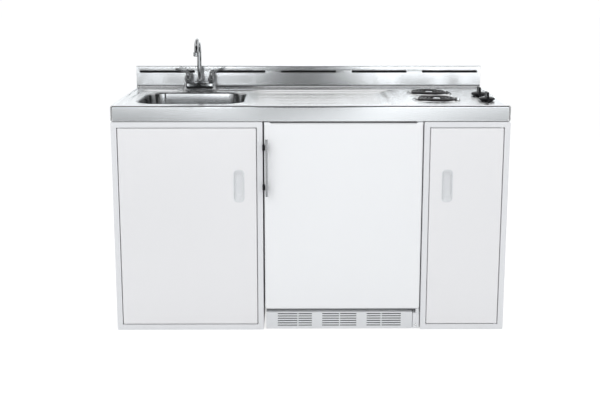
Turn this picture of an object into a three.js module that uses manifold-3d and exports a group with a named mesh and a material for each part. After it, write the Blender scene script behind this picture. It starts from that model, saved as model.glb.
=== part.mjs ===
// Kitchenette unit: a stainless worktop with a sink, a ribbed drainer and two coil hotplates,
// carried by two steel cupboards with a refrigerator between them.
// Millimetres, +Z up, front facing -Y, +X to the viewer's right.
// While it is built, y = 0 is the front of the apron, z = 0 the floor and x = 0 the middle.
import * as THREE from 'three';
import { mergeVertices } from 'three/addons/utils/BufferGeometryUtils.js';
import Module from 'manifold-3d';

const wasm = await Module();
wasm.setup();

// ---- Driving dimensions ---------------------------------------------------------------

// Overall and shared
const WIDTH = 1524; // worktop, side to side
const DEPTH = 622; // apron to wall
const TOP_Z = 895; // worktop rim above the floor
const SEAT = 0.3; // clearance between pieces that rest on each other
const SHEET = 2; // worktop and bowl steel
const STEEL = 1.5; // cupboard steel

// Worktop
const APRON = 60;
const NOSE = 8; // radius along the top edge
const CORNER = 10; // radius of the front corners, seen from above
const RIM_WIDTH = 9;
const RIM_RISE = 2.5; // rim above the deck
const RIM_SLOPE = 6;
const RETURN_FLANGE = 16; // hem under the apron
const SHADOW_GAP = 3; // between the apron and the cupboard fronts
const WET_DROP = 4; // recess round sink and drainer, below the deck
const WET_FRONT = 26;
const WET_BACK = 500;
const WET_SIDE = 32; // from the bowl to the left side of the recess
const WET_END = 43; // from the drainer to the right end of the recess
const WET_END_SLOPE = 34;
const WET_SLOPE = 8;
const WET_RADIUS = 34;

// Sink
const SINK_FROM_LEFT = 288; // bowl centre from the worktop's left end
const SINK_WIDTH = 428;
const SINK_FRONT = 94; // bowl edge behind the apron
const SINK_LENGTH = 360; // front to back
const SINK_DEPTH = 150;
const SINK_RADIUS = 84;
const SINK_TAPER = 10; // each wall leans in by this much
const SINK_FLOOR_RADIUS = 36;
const SINK_FLOOR_FALL = 4;
const BOWL_LIP = 6; // rolled edge of the bowl
const BOWL_LAND = 4; // flat rim outside the rolled edge
const BOWL_FLANGE = 3; // flange under the worktop
const STRAINER_RADIUS = 56; // flange of the strainer
const STRAINER_THROAT = 42;
const STRAINER_DEPTH = 36;
const OUTLET_RADIUS = 19;
const TAILPIECE_LENGTH = 100;
const NUT_HEIGHT = 9;

// Drainer
const DRAINER_LENGTH = 549;
const DRAINER_FRONT = 125;
const DRAINER_BACK = 471;
const DRAINER_DROP = 4.5;
const DRAINER_RADIUS = 12;
const DRAINER_SLOPE = 7.5; // short side next to the bowl
const DRAINER_END_SLOPE = 26;
const RIB_PITCH = 46;
const RIB_WIDTH = 10;
const RIB_RISE = 1.6;
const RIB_END = 22; // bare drainer at each end of a rib

// Backsplash
const SPLASH_HEIGHT = 93; // above the worktop rim
const SPLASH_DEPTH = 22;
const SPLASH_COVE = 11;
const SPLASH_TOE = 1; // thickness of the cove's front edge
const SPLASH_FOLD = 3; // radius of the top fold
const SPLASH_HEM = 14; // hem at the wall, hanging from the top
const SLOTS = 5;
const SLOT_LENGTH = 245;
const SLOT_HEIGHT = 11;
const SLOT_END = 14; // worktop end to the first slot
const SLOT_DROP = 25; // top fold to the slots' middle

// Tap
const TAP_FROM_LEFT = 286;
const TAP_BEHIND = 534; // tap centre behind the apron
const TAP_SPREAD = 102; // between the two valves
const TAP_BASE_LENGTH = 152;
const TAP_BASE_DEPTH = 50;
const TAP_BASE_HEIGHT = 29;
const SHANK_RADIUS = 10;
const SHANK_LENGTH = 46; // below the worktop
const SHANK_CLEARANCE = 1;
const VALVE_RADIUS = 15.5; // ball collar under a lever
const VALVE_HEIGHT = 47;
const LEVER_REACH = 54;
const LEVER_RISE = 18;
const LEVER_RADIUS = 4.2;
const PADDLE_RADIUS = 6.6;
const SPOUT_COLLAR_RADIUS = 14;
const SPOUT_COLLAR_HEIGHT = 24;
const SPOUT_RADIUS = 9.5;
const SPOUT_REACH = 115; // riser to outlet
const SPOUT_OUTLET = 153.5; // outlet above the deck
const AERATOR_RADIUS = 12.5;
const AERATOR_LENGTH = 17;

// Hob
const HOB_FROM_RIGHT = 257; // hotplates' centre line from the worktop's right end
const FRONT_PLATE = 180; // hotplate centres behind the apron
const REAR_PLATE = 391;
const PAN_RADIUS = 95;
const PAN_HOLE = 91.6; // radius of the hole in the worktop
const PAN_BOWL = 87; // radius at the top of the bowl
const PAN_LEDGE = 89.5; // radius at the foot of the bead
const PAN_BEAD = 3.5; // bead above the worktop
const PAN_DEPTH = 24;
const PAN_FLOOR = 34; // radius of the flat floor
const PAN_THICK = 1.2;
const COIL_TURNS = 4;
const COIL_OUTER = 78.5; // centre of the outermost turn
const COIL_INNER = 24;
const COIL_WIRE = 3.5; // radius of the heating tube
const COIL_LEG = 2.5; // radius of the cold legs
const COIL_LIFT = 6.75; // middle of the tube above the deck
const LEG_DROP = 17; // legs below the turns
const LEG_SPREAD = 18;
const LEG_REACH = 116; // hotplate centre to the leg tips
const SOCKET_MOUTH = 104; // hotplate centre to the terminal block
const SUPPORT_ARMS = 3;
const SUPPORT_THICK = 2.4;
const SUPPORT_HEIGHT = 7;
const MEDALLION_RADIUS = 15.5;
const TRAY_LEFT = 103; // hotplate centre line to the tray's left wall
const TRAY_RIGHT = 240;
const TRAY_FRONT = 72;
const TRAY_BACK = 500;
const KNOB_FROM_RIGHT = 64;
const FRONT_KNOB = 144;
const REAR_KNOB = 303;
const KNOB_RADIUS = 31.5;
const KNOB_SKIRT = 16;
const KNOB_HEIGHT = 38;
const KNOB_FIN = 11;
const SHAFT_RADIUS = 3;
const BUSH_RADIUS = 5;
const BEZEL_RADIUS = 25;
const SWITCH_SIZE = 44;
const SWITCH_HEIGHT = 34;

// Cupboards
const LEFT_WIDTH = 578;
const RIGHT_WIDTH = 328;
const BACK_GAP = 12; // cupboard backs to the wall
const FRAME = 21.5; // width of the front frame's members
const FRAME_RADIUS = 5;
const FRAME_EDGE = 2;
const STOP_LIP = 10; // lip that the door shuts against
const STOP_GAP = 4; // behind the door
const DOOR_GAP = 2.6;
const DOOR_THICK = 20;
const DOOR_RADIUS = 3;
const DOOR_EDGE = 4;
const DOOR_PRESSING = 3; // depth of the panel pressed into the door's back
const PIN_RADIUS = 4;
const PIN_INSET = 8; // hinge pin from the door's edge and from its face
const PIN_LENGTH = 10; // of the pin beyond the door gap
const BASE_HEIGHT = 21.5;
const SEAT_FLANGE = 16; // top flange that carries the worktop
const SHELF_Z = 420;
const PULL_WIDTH = 41;
const PULL_HEIGHT = 127;
const PULL_DEPTH = 13;
const PULL_FROM_EDGE = 68;
const PULL_Z = 582.5;
const PULL_RADIUS = 15;
const PULL_WALL = 1.4;
const CATCH_WIDTH = 15;
const CATCH_HEIGHT = 48;

// Refrigerator
const FRIDGE_GAP_LEFT = 5.7; // door to the cupboards
const FRIDGE_GAP_RIGHT = 3.9;
const FRIDGE_DOOR_BOTTOM = 84.7;
const FRIDGE_DOOR_DROP = 8; // door's top below the apron
const FRIDGE_DOOR_THICK = 38;
const FRIDGE_DOOR_EDGE = 8;
const FRIDGE_CAP_WIDTH = 27; // raised corner of the door's top
const FRIDGE_CAP_RISE = 4;
const FRIDGE_PIN_INSET = 7; // hinge pin from the door's edge
const FRIDGE_PIN_BEHIND = 9; // hinge pin behind the door's face
const FRIDGE_INSET = 4.3; // cabinet narrower than the door, each side
const FRIDGE_FRONT = 54; // cabinet face behind the apron
const FRIDGE_BACK = 580;
const FRIDGE_TOP_STEP = 1; // cabinet top below the door's
const FRIDGE_BOTTOM = 15;
const FOOT_RADIUS = 15;
const FOAM = 40;
const FRIDGE_FLOOR = 90; // underside of the foamed bottom
const MACHINE_FRONT = 400; // compressor space, behind the apron
const MACHINE_TOP = 250;
const SKIRT = 20;
const LINER = 2;
const LINER_FLANGE = 36;
const RAIL_REACH = 8;
const RAIL_FRONT = 170;
const RAIL_BACK = 500;
const LOWER_SHELF = 330;
const UPPER_SHELF = 560;
const SHELF_THICK = 5;
const GASKET_INSET = 10;
const GASKET_WIDTH = 14;
const DOOR_LINER = 2.5;
const DYKE_INSET_LEFT = 70; // door's edge to the raised frame inside it
const DYKE_INSET_RIGHT = 62;
const DYKE_BOTTOM = 150;
const DYKE_DROP = 57; // door's top to the raised frame inside it
const DYKE_DEPTH = 34;
const DYKE_WALL = 3;
const BIN_DEPTH = 96;
const BIN_HEIGHT = 90;
const BIN_WALL = 2.5;
const LOWER_BIN = 170;
const UPPER_BIN = 470;
const KICK_TOP = 70;
const KICK_BOTTOM = 2;
const KICK_FRONT = 6;
const KICK_THICK = 2;
const KICK_END = 4; // grille to the fridge's left edge
const BRACKET_WIDTH = 25;
const LOUVRE_ROWS = 6;
const LOUVRE_PITCH = 9.56;
const LOUVRE_HEIGHT = 3.9;
const LOUVRE_FIRST = 14.2; // lowest row above the grille's bottom
const LOUVRE_GROUPS = 3;
const LOUVRE_MARGIN = 45.4; // grille's end to the first group
const LOUVRE_BETWEEN = 40.5; // between two groups
const LOUVRE_DIVIDER = 4.3; // bar across each group
const DIVIDER_SHARE = 0.575; // share of the first group on the left of its divider
const DIVIDER_STEP = 0.083; // less of that share in each next group
const BAR_RADIUS = 5.65;
const BAR_LENGTH = 223;
const BAR_CENTRE_Z = 658;
const BAR_FROM_EDGE = 10.4; // bar centre inside the door's edge
const BAR_STANDOFF = 20; // finger gap
const BLOCK_SPACING = 155.5;
const BLOCK_HEIGHT = 19;
const BLOCK_OVERHANG = 6.5; // block beyond the door's edge
const DIAL_RADIUS = 20;
const DIAL_THICK = 13;
const DIAL_BEHIND = 215;
const DIAL_DROP = 96; // food space's ceiling to the dial's middle
const PLATE_INSET = 70; // side of the food space to the cold plate
const PLATE_DROP = 26; // food space's ceiling to the cold plate
const PLATE_HEIGHT = 170;
const COMPRESSOR_RADIUS = 72;
const COMPRESSOR_HEIGHT = 165;
const COMPRESSOR_SEAM = 70; // top to the welded seam
const COMPRESSOR_FROM_RIGHT = 130;
const COMPRESSOR_BEHIND = 492;
const CONDENSER_TUBE = 2.5;
const CONDENSER_STRAP = 70; // condenser's side to the middle of a strap
const CONDENSER_RUNS = 8;
const CONDENSER_PITCH = 58;
const CONDENSER_INSET = 65; // cabinet side to the end of the bends
const CONDENSER_BOTTOM = 300;
const CONDENSER_GAP = 11; // fridge back to the tube's middle

// ---- Finishes -------------------------------------------------------------------------

const finish = (color, roughness, metalness) =>
  new THREE.MeshStandardMaterial({ color, roughness, metalness, flatShading: true });
const stainless = finish(0xc9ccce, 0.3, 1);
const chrome = finish(0xe2e4e6, 0.08, 1);
const galvanised = finish(0xa7abad, 0.5, 0.9);
const aluminium = finish(0xbfc3c6, 0.45, 0.9);
const whiteEnamel = finish(0xe9eaec, 0.35, 0);
const whitePlastic = finish(0xe4e6e8, 0.45, 0);
const innerPlastic = finish(0xeceeef, 0.4, 0);
const blackPlastic = finish(0x141416, 0.35, 0);
const blackTube = finish(0x17171a, 0.6, 0.3);
const blackPaint = finish(0x1d1e20, 0.45, 0.2);
const ceramic = finish(0xd9d3c4, 0.7, 0);
const greyRubber = finish(0xc8cacb, 0.8, 0);
const glass = finish(0xdfe9ea, 0.1, 0);

// ---- Solids ---------------------------------------------------------------------------

// A closed solid from vertices and faces: welded, without slivers, faces outwards.
function solidFrom(vertices, faces) {
  const index = new Map();
  const merged = [];
  const places = vertices.map((v) => {
    const key = v.map((c) => Math.round(c * 1e4)).join();
    if (!index.has(key)) index.set(key, merged.push(v) - 1);
    return index.get(key);
  });
  const kept = faces.map((f) => f.map((i) => places[i]))
    .filter(([a, b, c]) => a !== b && b !== c && c !== a);
  let volume = 0;
  for (const [a, b, c] of kept) {
    const [p, q, r] = [a, b, c].map((i) => new THREE.Vector3(...merged[i]));
    volume += p.dot(q.cross(r));
  }
  const outward = volume < 0 ? kept.map(([a, b, c]) => [a, c, b]) : kept;
  return new wasm.Manifold(new wasm.Mesh({
    numProp: 3,
    vertProperties: new Float32Array(merged.flat()),
    triVerts: new Uint32Array(outward.flat()),
  }));
}

function solidOf(geometry) {
  const plain = geometry.clone();
  plain.deleteAttribute('normal');
  plain.deleteAttribute('uv');
  const welded = mergeVertices(plain, 1e-4);
  const place = welded.attributes.position;
  const vertices = [];
  for (let i = 0; i < place.count; i++) vertices.push([place.getX(i), place.getY(i), place.getZ(i)]);
  const faces = [];
  for (let i = 0; i < welded.index.count; i += 3) faces.push([...welded.index.array.slice(i, i + 3)]);
  return solidFrom(vertices, faces);
}

const join = (first, ...rest) => rest.reduce((sum, piece) => sum.add(piece), first);
const cut = (first, ...rest) => rest.reduce((left, piece) => left.subtract(piece), first);

function block(x0, x1, y0, y1, z0, z1) {
  const box = new THREE.BoxGeometry(x1 - x0, y1 - y0, z1 - z0);
  return solidOf(box.translate((x0 + x1) / 2, (y0 + y1) / 2, (z0 + z1) / 2));
}

// A rounded rectangle as [u, v] points; a radius of half its sides makes it a circle.
function ring(u0, u1, v0, v1, radius, steps = 4) {
  const r = Math.max(0.01, Math.min(radius, (u1 - u0) / 2, (v1 - v0) / 2));
  const corners = [[u1 - r, v1 - r], [u0 + r, v1 - r], [u0 + r, v0 + r], [u1 - r, v0 + r]];
  return corners.flatMap(([u, v], quarter) => Array.from({ length: steps + 1 }, (_, i) => {
    const angle = (quarter + i / steps) * Math.PI / 2;
    return [u + r * Math.cos(angle), v + r * Math.sin(angle)];
  }));
}

const flat = (points, z) => points.map(([x, y]) => [x, y, z]); // in a level plane
const upright = (points, y) => points.map(([x, z]) => [x, y, z]); // in a plane facing the front

// A skin through a row of rings that have as many points each, closed by the first and last.
function loft(rings) {
  const n = rings[0].length;
  const last = (rings.length - 1) * n;
  const faces = [];
  for (let i = 0; i < rings.length - 1; i++)
    for (let j = 0; j < n; j++) {
      const [a, b] = [i * n + j, i * n + (j + 1) % n];
      faces.push([a, b, b + n], [a, b + n, a + n]);
    }
  for (let j = 1; j < n - 1; j++) faces.push([0, j + 1, j], [last, last + j, last + j + 1]);
  return solidFrom(rings.flat(), faces);
}

// A flat outline pushed along an axis. Points are [y, z] along x, [x, z] along y, [x, y] along z.
function prism(points, axis, from, to) {
  const shape = new THREE.Shape(points.map(([u, v]) => new THREE.Vector2(u, v)));
  const solid = new THREE.ExtrudeGeometry(shape, { depth: to - from, bevelEnabled: false });
  const [x, y, z] = [[1, 0, 0], [0, 1, 0], [0, 0, 1]].map((v) => new THREE.Vector3(...v));
  const basis = { x: [y, z, x, from, 0, 0], y: [x, z, y.clone().negate(), 0, to, 0], z: [x, y, z, 0, 0, from] }[axis];
  const matrix = new THREE.Matrix4().makeBasis(...basis.slice(0, 3)).setPosition(...basis.slice(3));
  return solidOf(solid.applyMatrix4(matrix));
}

// A turned piece: [radius, height] points round an upright axis at x, y.
function turned(profile, x, y, segments = 32) {
  const lathe = new THREE.LatheGeometry(profile.map(([r, z]) => new THREE.Vector2(r, z)), segments);
  return solidOf(lathe.rotateX(Math.PI / 2).translate(x, y, 0));
}

// A round bar along an axis from one coordinate to another, through the point given.
function rod(radius, axis, from, to, [x, y, z], segments = 20) {
  const bar = new THREE.CylinderGeometry(radius, radius, to - from, segments);
  const middle = (from + to) / 2;
  if (axis === 'x') bar.rotateZ(Math.PI / 2).translate(middle, y, z);
  if (axis === 'y') bar.translate(x, middle, z);
  if (axis === 'z') bar.rotateX(Math.PI / 2).translate(x, y, middle);
  return solidOf(bar);
}

// A round tube along points, with a radius for each, its frame carried from point to point.
function sweep(points, radii, sides = 8) {
  const path = points.map((p) => new THREE.Vector3(...p));
  const along = path.map((_, i) => path[Math.min(i + 1, path.length - 1)].clone()
    .sub(path[Math.max(i - 1, 0)]).normalize());
  let side = new THREE.Vector3(0, 0, 1).cross(along[0]);
  if (side.length() < 0.1) side = new THREE.Vector3(1, 0, 0).cross(along[0]);
  const rings = path.map((centre, i) => {
    side = side.clone().sub(along[i].clone().multiplyScalar(side.dot(along[i]))).normalize();
    const up = along[i].clone().cross(side);
    const radius = Array.isArray(radii) ? radii[i] : radii;
    return Array.from({ length: sides }, (_, k) => {
      const angle = (k + 0.5) / sides * 2 * Math.PI;
      return centre.clone().addScaledVector(side, radius * Math.cos(angle))
        .addScaledVector(up, radius * Math.sin(angle)).toArray();
    });
  });
  return loft(rings);
}

// Points of an arc in a plane, from one angle to another, in degrees.
function arc(u, v, radius, from, to, steps) {
  return Array.from({ length: steps + 1 }, (_, i) => {
    const angle = (from + (to - from) * i / steps) * Math.PI / 180;
    return [u + radius * Math.cos(angle), v + radius * Math.sin(angle)];
  });
}

// An upright panel with rounded corners whose front edge is rounded over.
function panel(x0, x1, z0, z1, front, back, radius, edge) {
  const turn = arc(0, 0, edge, 0, 90, 3);
  const rings = turn.reverse().map(([out, deep]) => {
    const inset = edge - out;
    return upright(ring(x0 + inset, x1 - inset, z0 + inset, z1 - inset, Math.max(radius, edge) - inset, 3),
      front + edge - deep);
  });
  return loft([...rings, upright(ring(x0, x1, z0, z1, Math.max(radius, edge), 3), back)]);
}

const unit = new THREE.Group();

function add(name, solid, material) {
  const { vertProperties, triVerts } = solid.getMesh();
  const geometry = new THREE.BufferGeometry();
  geometry.setAttribute('position', new THREE.BufferAttribute(new Float32Array(vertProperties), 3));
  geometry.setIndex(new THREE.BufferAttribute(new Uint32Array(triVerts), 1));
  geometry.computeVertexNormals();
  const mesh = new THREE.Mesh(geometry, material);
  mesh.name = name;
  unit.add(mesh);
}

// ---- Levels and places that several pieces share ------------------------------------------

const LEFT = -WIDTH / 2;
const RIGHT = WIDTH / 2;
const deckZ = TOP_Z - RIM_RISE;
const wetZ = deckZ - WET_DROP;
const drainerZ = wetZ - DRAINER_DROP;
const apronZ = TOP_Z - APRON;
const splashY = DEPTH - SPLASH_DEPTH;
const splashTop = TOP_Z + SPLASH_HEIGHT;
const sinkX = LEFT + SINK_FROM_LEFT;
const bowl = {
  x0: sinkX - SINK_WIDTH / 2, x1: sinkX + SINK_WIDTH / 2, y0: SINK_FRONT, y1: SINK_FRONT + SINK_LENGTH,
};
const drainY = (bowl.y0 + bowl.y1) / 2;
const bowlFloor = wetZ - SINK_DEPTH;
const drainFloor = bowlFloor - SINK_FLOOR_FALL;
const drainerX0 = bowl.x1 + BOWL_LAND + BOWL_FLANGE + SHEET + 0.5 + DRAINER_SLOPE;
const drainerX1 = drainerX0 + DRAINER_LENGTH;
const tapX = LEFT + TAP_FROM_LEFT;
const hobX = RIGHT - HOB_FROM_RIGHT;
const knobX = RIGHT - KNOB_FROM_RIGHT;
const trayFloor = apronZ + 1;
const bayX0 = LEFT + LEFT_WIDTH;
const bayX1 = RIGHT - RIGHT_WIDTH;
const cupboardBack = DEPTH - BACK_GAP;
const fridgeDoor = { x0: bayX0 + FRIDGE_GAP_LEFT, x1: bayX1 - FRIDGE_GAP_RIGHT };
const fridge = { x0: fridgeDoor.x0 + FRIDGE_INSET, x1: fridgeDoor.x1 - FRIDGE_INSET };
const fridgeDoorTop = apronZ - FRIDGE_DOOR_DROP;
const fridgeTop = fridgeDoorTop - FRIDGE_TOP_STEP;
const fridgePin = [fridgeDoor.x1 - FRIDGE_PIN_INSET, FRIDGE_PIN_BEHIND];
const slotPitch = (WIDTH - 2 * SLOT_END - SLOT_LENGTH) / (SLOTS - 1);
const slotStarts = Array.from({ length: SLOTS }, (_, i) => LEFT + SLOT_END + i * slotPitch);

// A level ring of the bowl, drawn in from its edge.
const bowlRing = (inset, z) => flat(ring(bowl.x0 + inset, bowl.x1 - inset, bowl.y0 + inset, bowl.y1 - inset,
  Math.max(SINK_RADIUS - inset, SINK_FLOOR_RADIUS)), z);

// ---- Worktop --------------------------------------------------------------------------

// A recess with sloping sides, x0..x1 and y0..y1 at its floor. The underside of the pressed
// sheet follows the same shape, grown by the sheet.
function recess({ x0, x1, y0, y1, radius, floor, drop, slope, endSlope }, grow) {
  const level = (t) => flat(ring(x0 - slope * t - grow, x1 + endSlope * t + grow, y0 - slope * t - grow,
    y1 + slope * t + grow, radius + grow), floor + drop * t - grow);
  return loft([level(0), level(1), level(2)]);
}

const wetArea = {
  x0: bowl.x0 - WET_SIDE, x1: drainerX1 + WET_END, y0: WET_FRONT + WET_SLOPE, y1: WET_BACK, radius: WET_RADIUS,
  floor: wetZ, drop: WET_DROP, slope: WET_SLOPE, endSlope: WET_END_SLOPE,
};
const drainer = {
  x0: drainerX0, x1: drainerX1, y0: DRAINER_FRONT, y1: DRAINER_BACK, radius: DRAINER_RADIUS,
  floor: drainerZ, drop: DRAINER_DROP, slope: DRAINER_SLOPE, endSlope: DRAINER_END_SLOPE,
};

function drainerRibs() {
  const count = Math.floor((DRAINER_BACK - DRAINER_FRONT) / RIB_PITCH);
  const start = (DRAINER_FRONT + DRAINER_BACK - count * RIB_PITCH) / 2;
  return Array.from({ length: count }, (_, i) => {
    const y = start + (i + 0.5) * RIB_PITCH;
    const level = (inset, z) => flat(ring(drainer.x0 + RIB_END + inset, drainer.x1 - RIB_END - inset,
      y - RIB_WIDTH / 2 + inset, y + RIB_WIDTH / 2 - inset, RIB_WIDTH, 1), z);
    return loft([level(0, drainerZ - SHEET / 2), level(0, drainerZ + RIB_RISE / 4),
      level(RIB_WIDTH / 4, drainerZ + RIB_RISE)]);
  });
}

function worktop() {
  const past = 60; // the outline runs on behind the wall face and is cut off there
  const outline = (inset, z) => flat(ring(LEFT + inset, RIGHT - inset, inset, DEPTH + past,
    CORNER - inset), z);
  const nose = arc(0, TOP_Z - NOSE, NOSE, 0, 90, 4).map(([out, z]) => outline(NOSE - out, z));
  const blank = loft([outline(0, apronZ), ...nose]);
  const deck = loft([outline(RIM_WIDTH + RIM_SLOPE, deckZ), outline(RIM_WIDTH, TOP_Z),
    outline(RIM_WIDTH - RIM_SLOPE, TOP_Z + RIM_RISE)]);
  const pressing = join(cut(blank, deck, recess(wetArea, 0), recess(drainer, 0)), ...drainerRibs());
  const under = cut(
    block(LEFT + SHEET, RIGHT - SHEET, SHEET, DEPTH - SHEET, apronZ + SHEET, deckZ - SHEET),
    recess(wetArea, SHEET), recess(drainer, SHEET));
  const mouth = block(LEFT + RETURN_FLANGE, RIGHT - RETURN_FLANGE, RETURN_FLANGE, DEPTH - RETURN_FLANGE,
    apronZ - 1, apronZ + SHEET + 1);
  const beyond = block(LEFT - 1, RIGHT + 1, DEPTH, DEPTH + past + 1, apronZ - 1, TOP_Z + 1);
  const hole = (radius, x, y, sides) => rod(radius, 'z', drainerZ - 40, TOP_Z + 5, [x, y, 0], sides);
  const splashSeat = block(LEFT - 1, RIGHT + 1, splashY - SPLASH_COVE - SEAT, DEPTH + 1, deckZ, TOP_Z + 1);
  const vents = slotStarts.map((x) => block(x, x + SLOT_LENGTH, splashY + SHEET + 1, DEPTH - SHEET - 3,
    deckZ - 20, deckZ + 1));
  return cut(pressing, under, mouth, beyond, splashSeat, ...vents,
    loft([bowlRing(-BOWL_LAND, wetZ - 20), bowlRing(-BOWL_LAND, wetZ + 20)]),
    hole(PAN_HOLE, hobX, FRONT_PLATE, 24), hole(PAN_HOLE, hobX, REAR_PLATE, 24),
    hole(BUSH_RADIUS + SEAT, knobX, FRONT_KNOB, 12), hole(BUSH_RADIUS + SEAT, knobX, REAR_KNOB, 12),
    hole(SHANK_RADIUS + SHANK_CLEARANCE, tapX - TAP_SPREAD / 2, TAP_BEHIND, 12),
    hole(SHANK_RADIUS + SHANK_CLEARANCE, tapX + TAP_SPREAD / 2, TAP_BEHIND, 12));
}
add('worktop', worktop(), stainless);

function backsplash() {
  const foot = deckZ + SEAT;
  const cove = arc(splashY - SPLASH_COVE, foot + SPLASH_TOE + SPLASH_COVE, SPLASH_COVE, -90, 0, 4);
  const fold = arc(splashY + SPLASH_FOLD, splashTop - SPLASH_FOLD, SPLASH_FOLD, 180, 90, 3);
  const profile = [[splashY - SPLASH_COVE, foot], ...cove, ...fold, [DEPTH, splashTop], [DEPTH, foot]];
  const shell = prism(profile, 'x', LEFT, RIGHT);
  const hollow = block(LEFT + SHEET, RIGHT - SHEET, splashY + SHEET, DEPTH - SHEET, foot - 1, splashTop - SHEET);
  const back = block(LEFT + SHEET, RIGHT - SHEET, splashY + SHEET, DEPTH + 1, foot - 1, splashTop - SPLASH_HEM);
  const slotZ = splashTop - SLOT_DROP;
  const slots = slotStarts.map((x) => {
    const outline = ring(x, x + SLOT_LENGTH, slotZ - SLOT_HEIGHT / 2, slotZ + SLOT_HEIGHT / 2, SLOT_HEIGHT, 3);
    return loft([upright(outline, splashY - 5), upright(outline, splashY + SHEET + 1)]);
  });
  return cut(shell, hollow, back, ...slots);
}
add('backsplash', backsplash(), stainless);

// ---- Sink -------------------------------------------------------------------------------

const drainRing = (radius, z) => flat(ring(sinkX - radius, sinkX + radius, drainY - radius, drainY + radius,
  radius), z);

function sinkBowl() {
  const wall = (grow) => {
    const lean = BOWL_LIP + SINK_TAPER;
    const turn = arc(lean + SINK_FLOOR_RADIUS, bowlFloor + SINK_FLOOR_RADIUS, SINK_FLOOR_RADIUS + grow, 180, 270, 4);
    const rolled = arc(0, wetZ - BOWL_LIP, BOWL_LIP, 90, 0, 2);
    return { rolled, turn };
  };
  const inside = wall(0);
  const outside = wall(SHEET);
  const drainFlat = STRAINER_RADIUS + 6;
  const rimZ = wetZ - SHEET - SEAT; // top of the flange under the worktop
  return loft([
    drainRing(STRAINER_THROAT / 2, drainFloor - SHEET),
    drainRing(drainFlat, drainFloor - SHEET),
    ...outside.turn.slice().reverse().map(([inset, z]) => bowlRing(inset, z)),
    bowlRing(BOWL_LIP - SHEET, rimZ - SHEET),
    bowlRing(-BOWL_LAND - BOWL_FLANGE, rimZ - SHEET),
    bowlRing(-BOWL_LAND - BOWL_FLANGE, rimZ),
    bowlRing(-BOWL_LAND + SEAT, rimZ),
    bowlRing(-BOWL_LAND + SEAT, wetZ),
    ...inside.rolled.map(([inset, z]) => bowlRing(inset, z)),
    ...inside.turn.map(([inset, z]) => bowlRing(inset, z)),
    drainRing(drainFlat, drainFloor),
    drainRing(STRAINER_THROAT / 2, drainFloor),
  ]);
}
const throat = rod(STRAINER_THROAT + 1, 'z', drainFloor - 20, drainFloor + 20, [sinkX, drainY, 0], 20);
add('sink_bowl', cut(sinkBowl(), throat), stainless);

const cupFloor = drainFloor - STRAINER_DEPTH;
const outletEnd = cupFloor - 26;
add('sink_strainer_body', turned([
  [STRAINER_RADIUS, drainFloor + SEAT], [STRAINER_RADIUS, drainFloor + SEAT + 1.2],
  [STRAINER_THROAT - 1, drainFloor + SEAT + 1.6], [STRAINER_THROAT - 2, drainFloor - 2],
  [STRAINER_THROAT - 4, cupFloor + 3], [OUTLET_RADIUS - 2, cupFloor - 4],
  [OUTLET_RADIUS - 2, outletEnd], [OUTLET_RADIUS, outletEnd], [OUTLET_RADIUS, cupFloor - 6],
  [STRAINER_THROAT - 2, cupFloor + 1], [STRAINER_THROAT, drainFloor - 4],
  [STRAINER_THROAT, drainFloor + SEAT], [STRAINER_RADIUS, drainFloor + SEAT],
], sinkX, drainY, 20), stainless);

const nutTop = drainFloor - SHEET - SEAT;
add('sink_strainer_locknut', turned([
  [STRAINER_THROAT + SEAT, nutTop], [STRAINER_RADIUS - 2, nutTop], [STRAINER_RADIUS - 2, nutTop - 3],
  [STRAINER_THROAT + 5, nutTop - NUT_HEIGHT], [STRAINER_THROAT + SEAT, nutTop - NUT_HEIGHT],
  [STRAINER_THROAT + SEAT, nutTop],
], sinkX, drainY, 20), whitePlastic);

const basketRim = STRAINER_THROAT - 2 - SEAT;
const basketFloor = cupFloor + 6;
add('sink_strainer_basket', turned([
  [0, basketFloor + 1.5], [basketRim - 8, basketFloor + 1.5], [basketRim - 4, drainFloor - 3],
  [basketRim, drainFloor - 3], [basketRim - 3, basketFloor + 1], [basketRim - 7, basketFloor],
  [0, basketFloor],
], sinkX, drainY, 20).add(turned([
  [0, basketFloor + 1], [4, basketFloor + 1], [2.5, basketFloor + 9], [7, basketFloor + 15],
  [6, basketFloor + 19], [0, basketFloor + 20],
], sinkX, drainY, 12)), stainless);

const pipeBore = OUTLET_RADIUS + 2 * SEAT;
add('sink_tailpiece', turned([
  [pipeBore, outletEnd + 12], [pipeBore + 7, outletEnd + 12], [pipeBore + 7, outletEnd - 6],
  [OUTLET_RADIUS, outletEnd - 8], [OUTLET_RADIUS, outletEnd - TAILPIECE_LENGTH],
  [OUTLET_RADIUS - 1.5, outletEnd - TAILPIECE_LENGTH], [OUTLET_RADIUS - 1.5, outletEnd - SEAT],
  [pipeBore, outletEnd - SEAT], [pipeBore, outletEnd + 12],
], sinkX, drainY, 16), chrome);

// ---- Tap --------------------------------------------------------------------------------

const tapBaseZ = deckZ + SEAT;
const tapBaseTop = tapBaseZ + TAP_BASE_HEIGHT;
const valves = { left: tapX - TAP_SPREAD / 2, right: tapX + TAP_SPREAD / 2 };

function tapBase() {
  const [half, deep] = [TAP_BASE_LENGTH / 2, TAP_BASE_DEPTH / 2];
  const body = [[0, 0], [0, 2], [1.5, 4.5], [4.5, 9], [7, 15], [8, 21], [8, TAP_BASE_HEIGHT - 2.5],
    [10, TAP_BASE_HEIGHT]].map(([inset, z]) => flat(ring(tapX - half + inset, tapX + half - inset,
    TAP_BEHIND - deep + inset, TAP_BEHIND + deep - inset, deep), tapBaseZ + z));
  const shank = (x) => rod(SHANK_RADIUS, 'z', deckZ - SHEET - SHANK_LENGTH, tapBaseZ + 4, [x, TAP_BEHIND, 0], 12);
  return join(loft(body), shank(valves.left), shank(valves.right));
}
add('tap_base', tapBase(), chrome);

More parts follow.
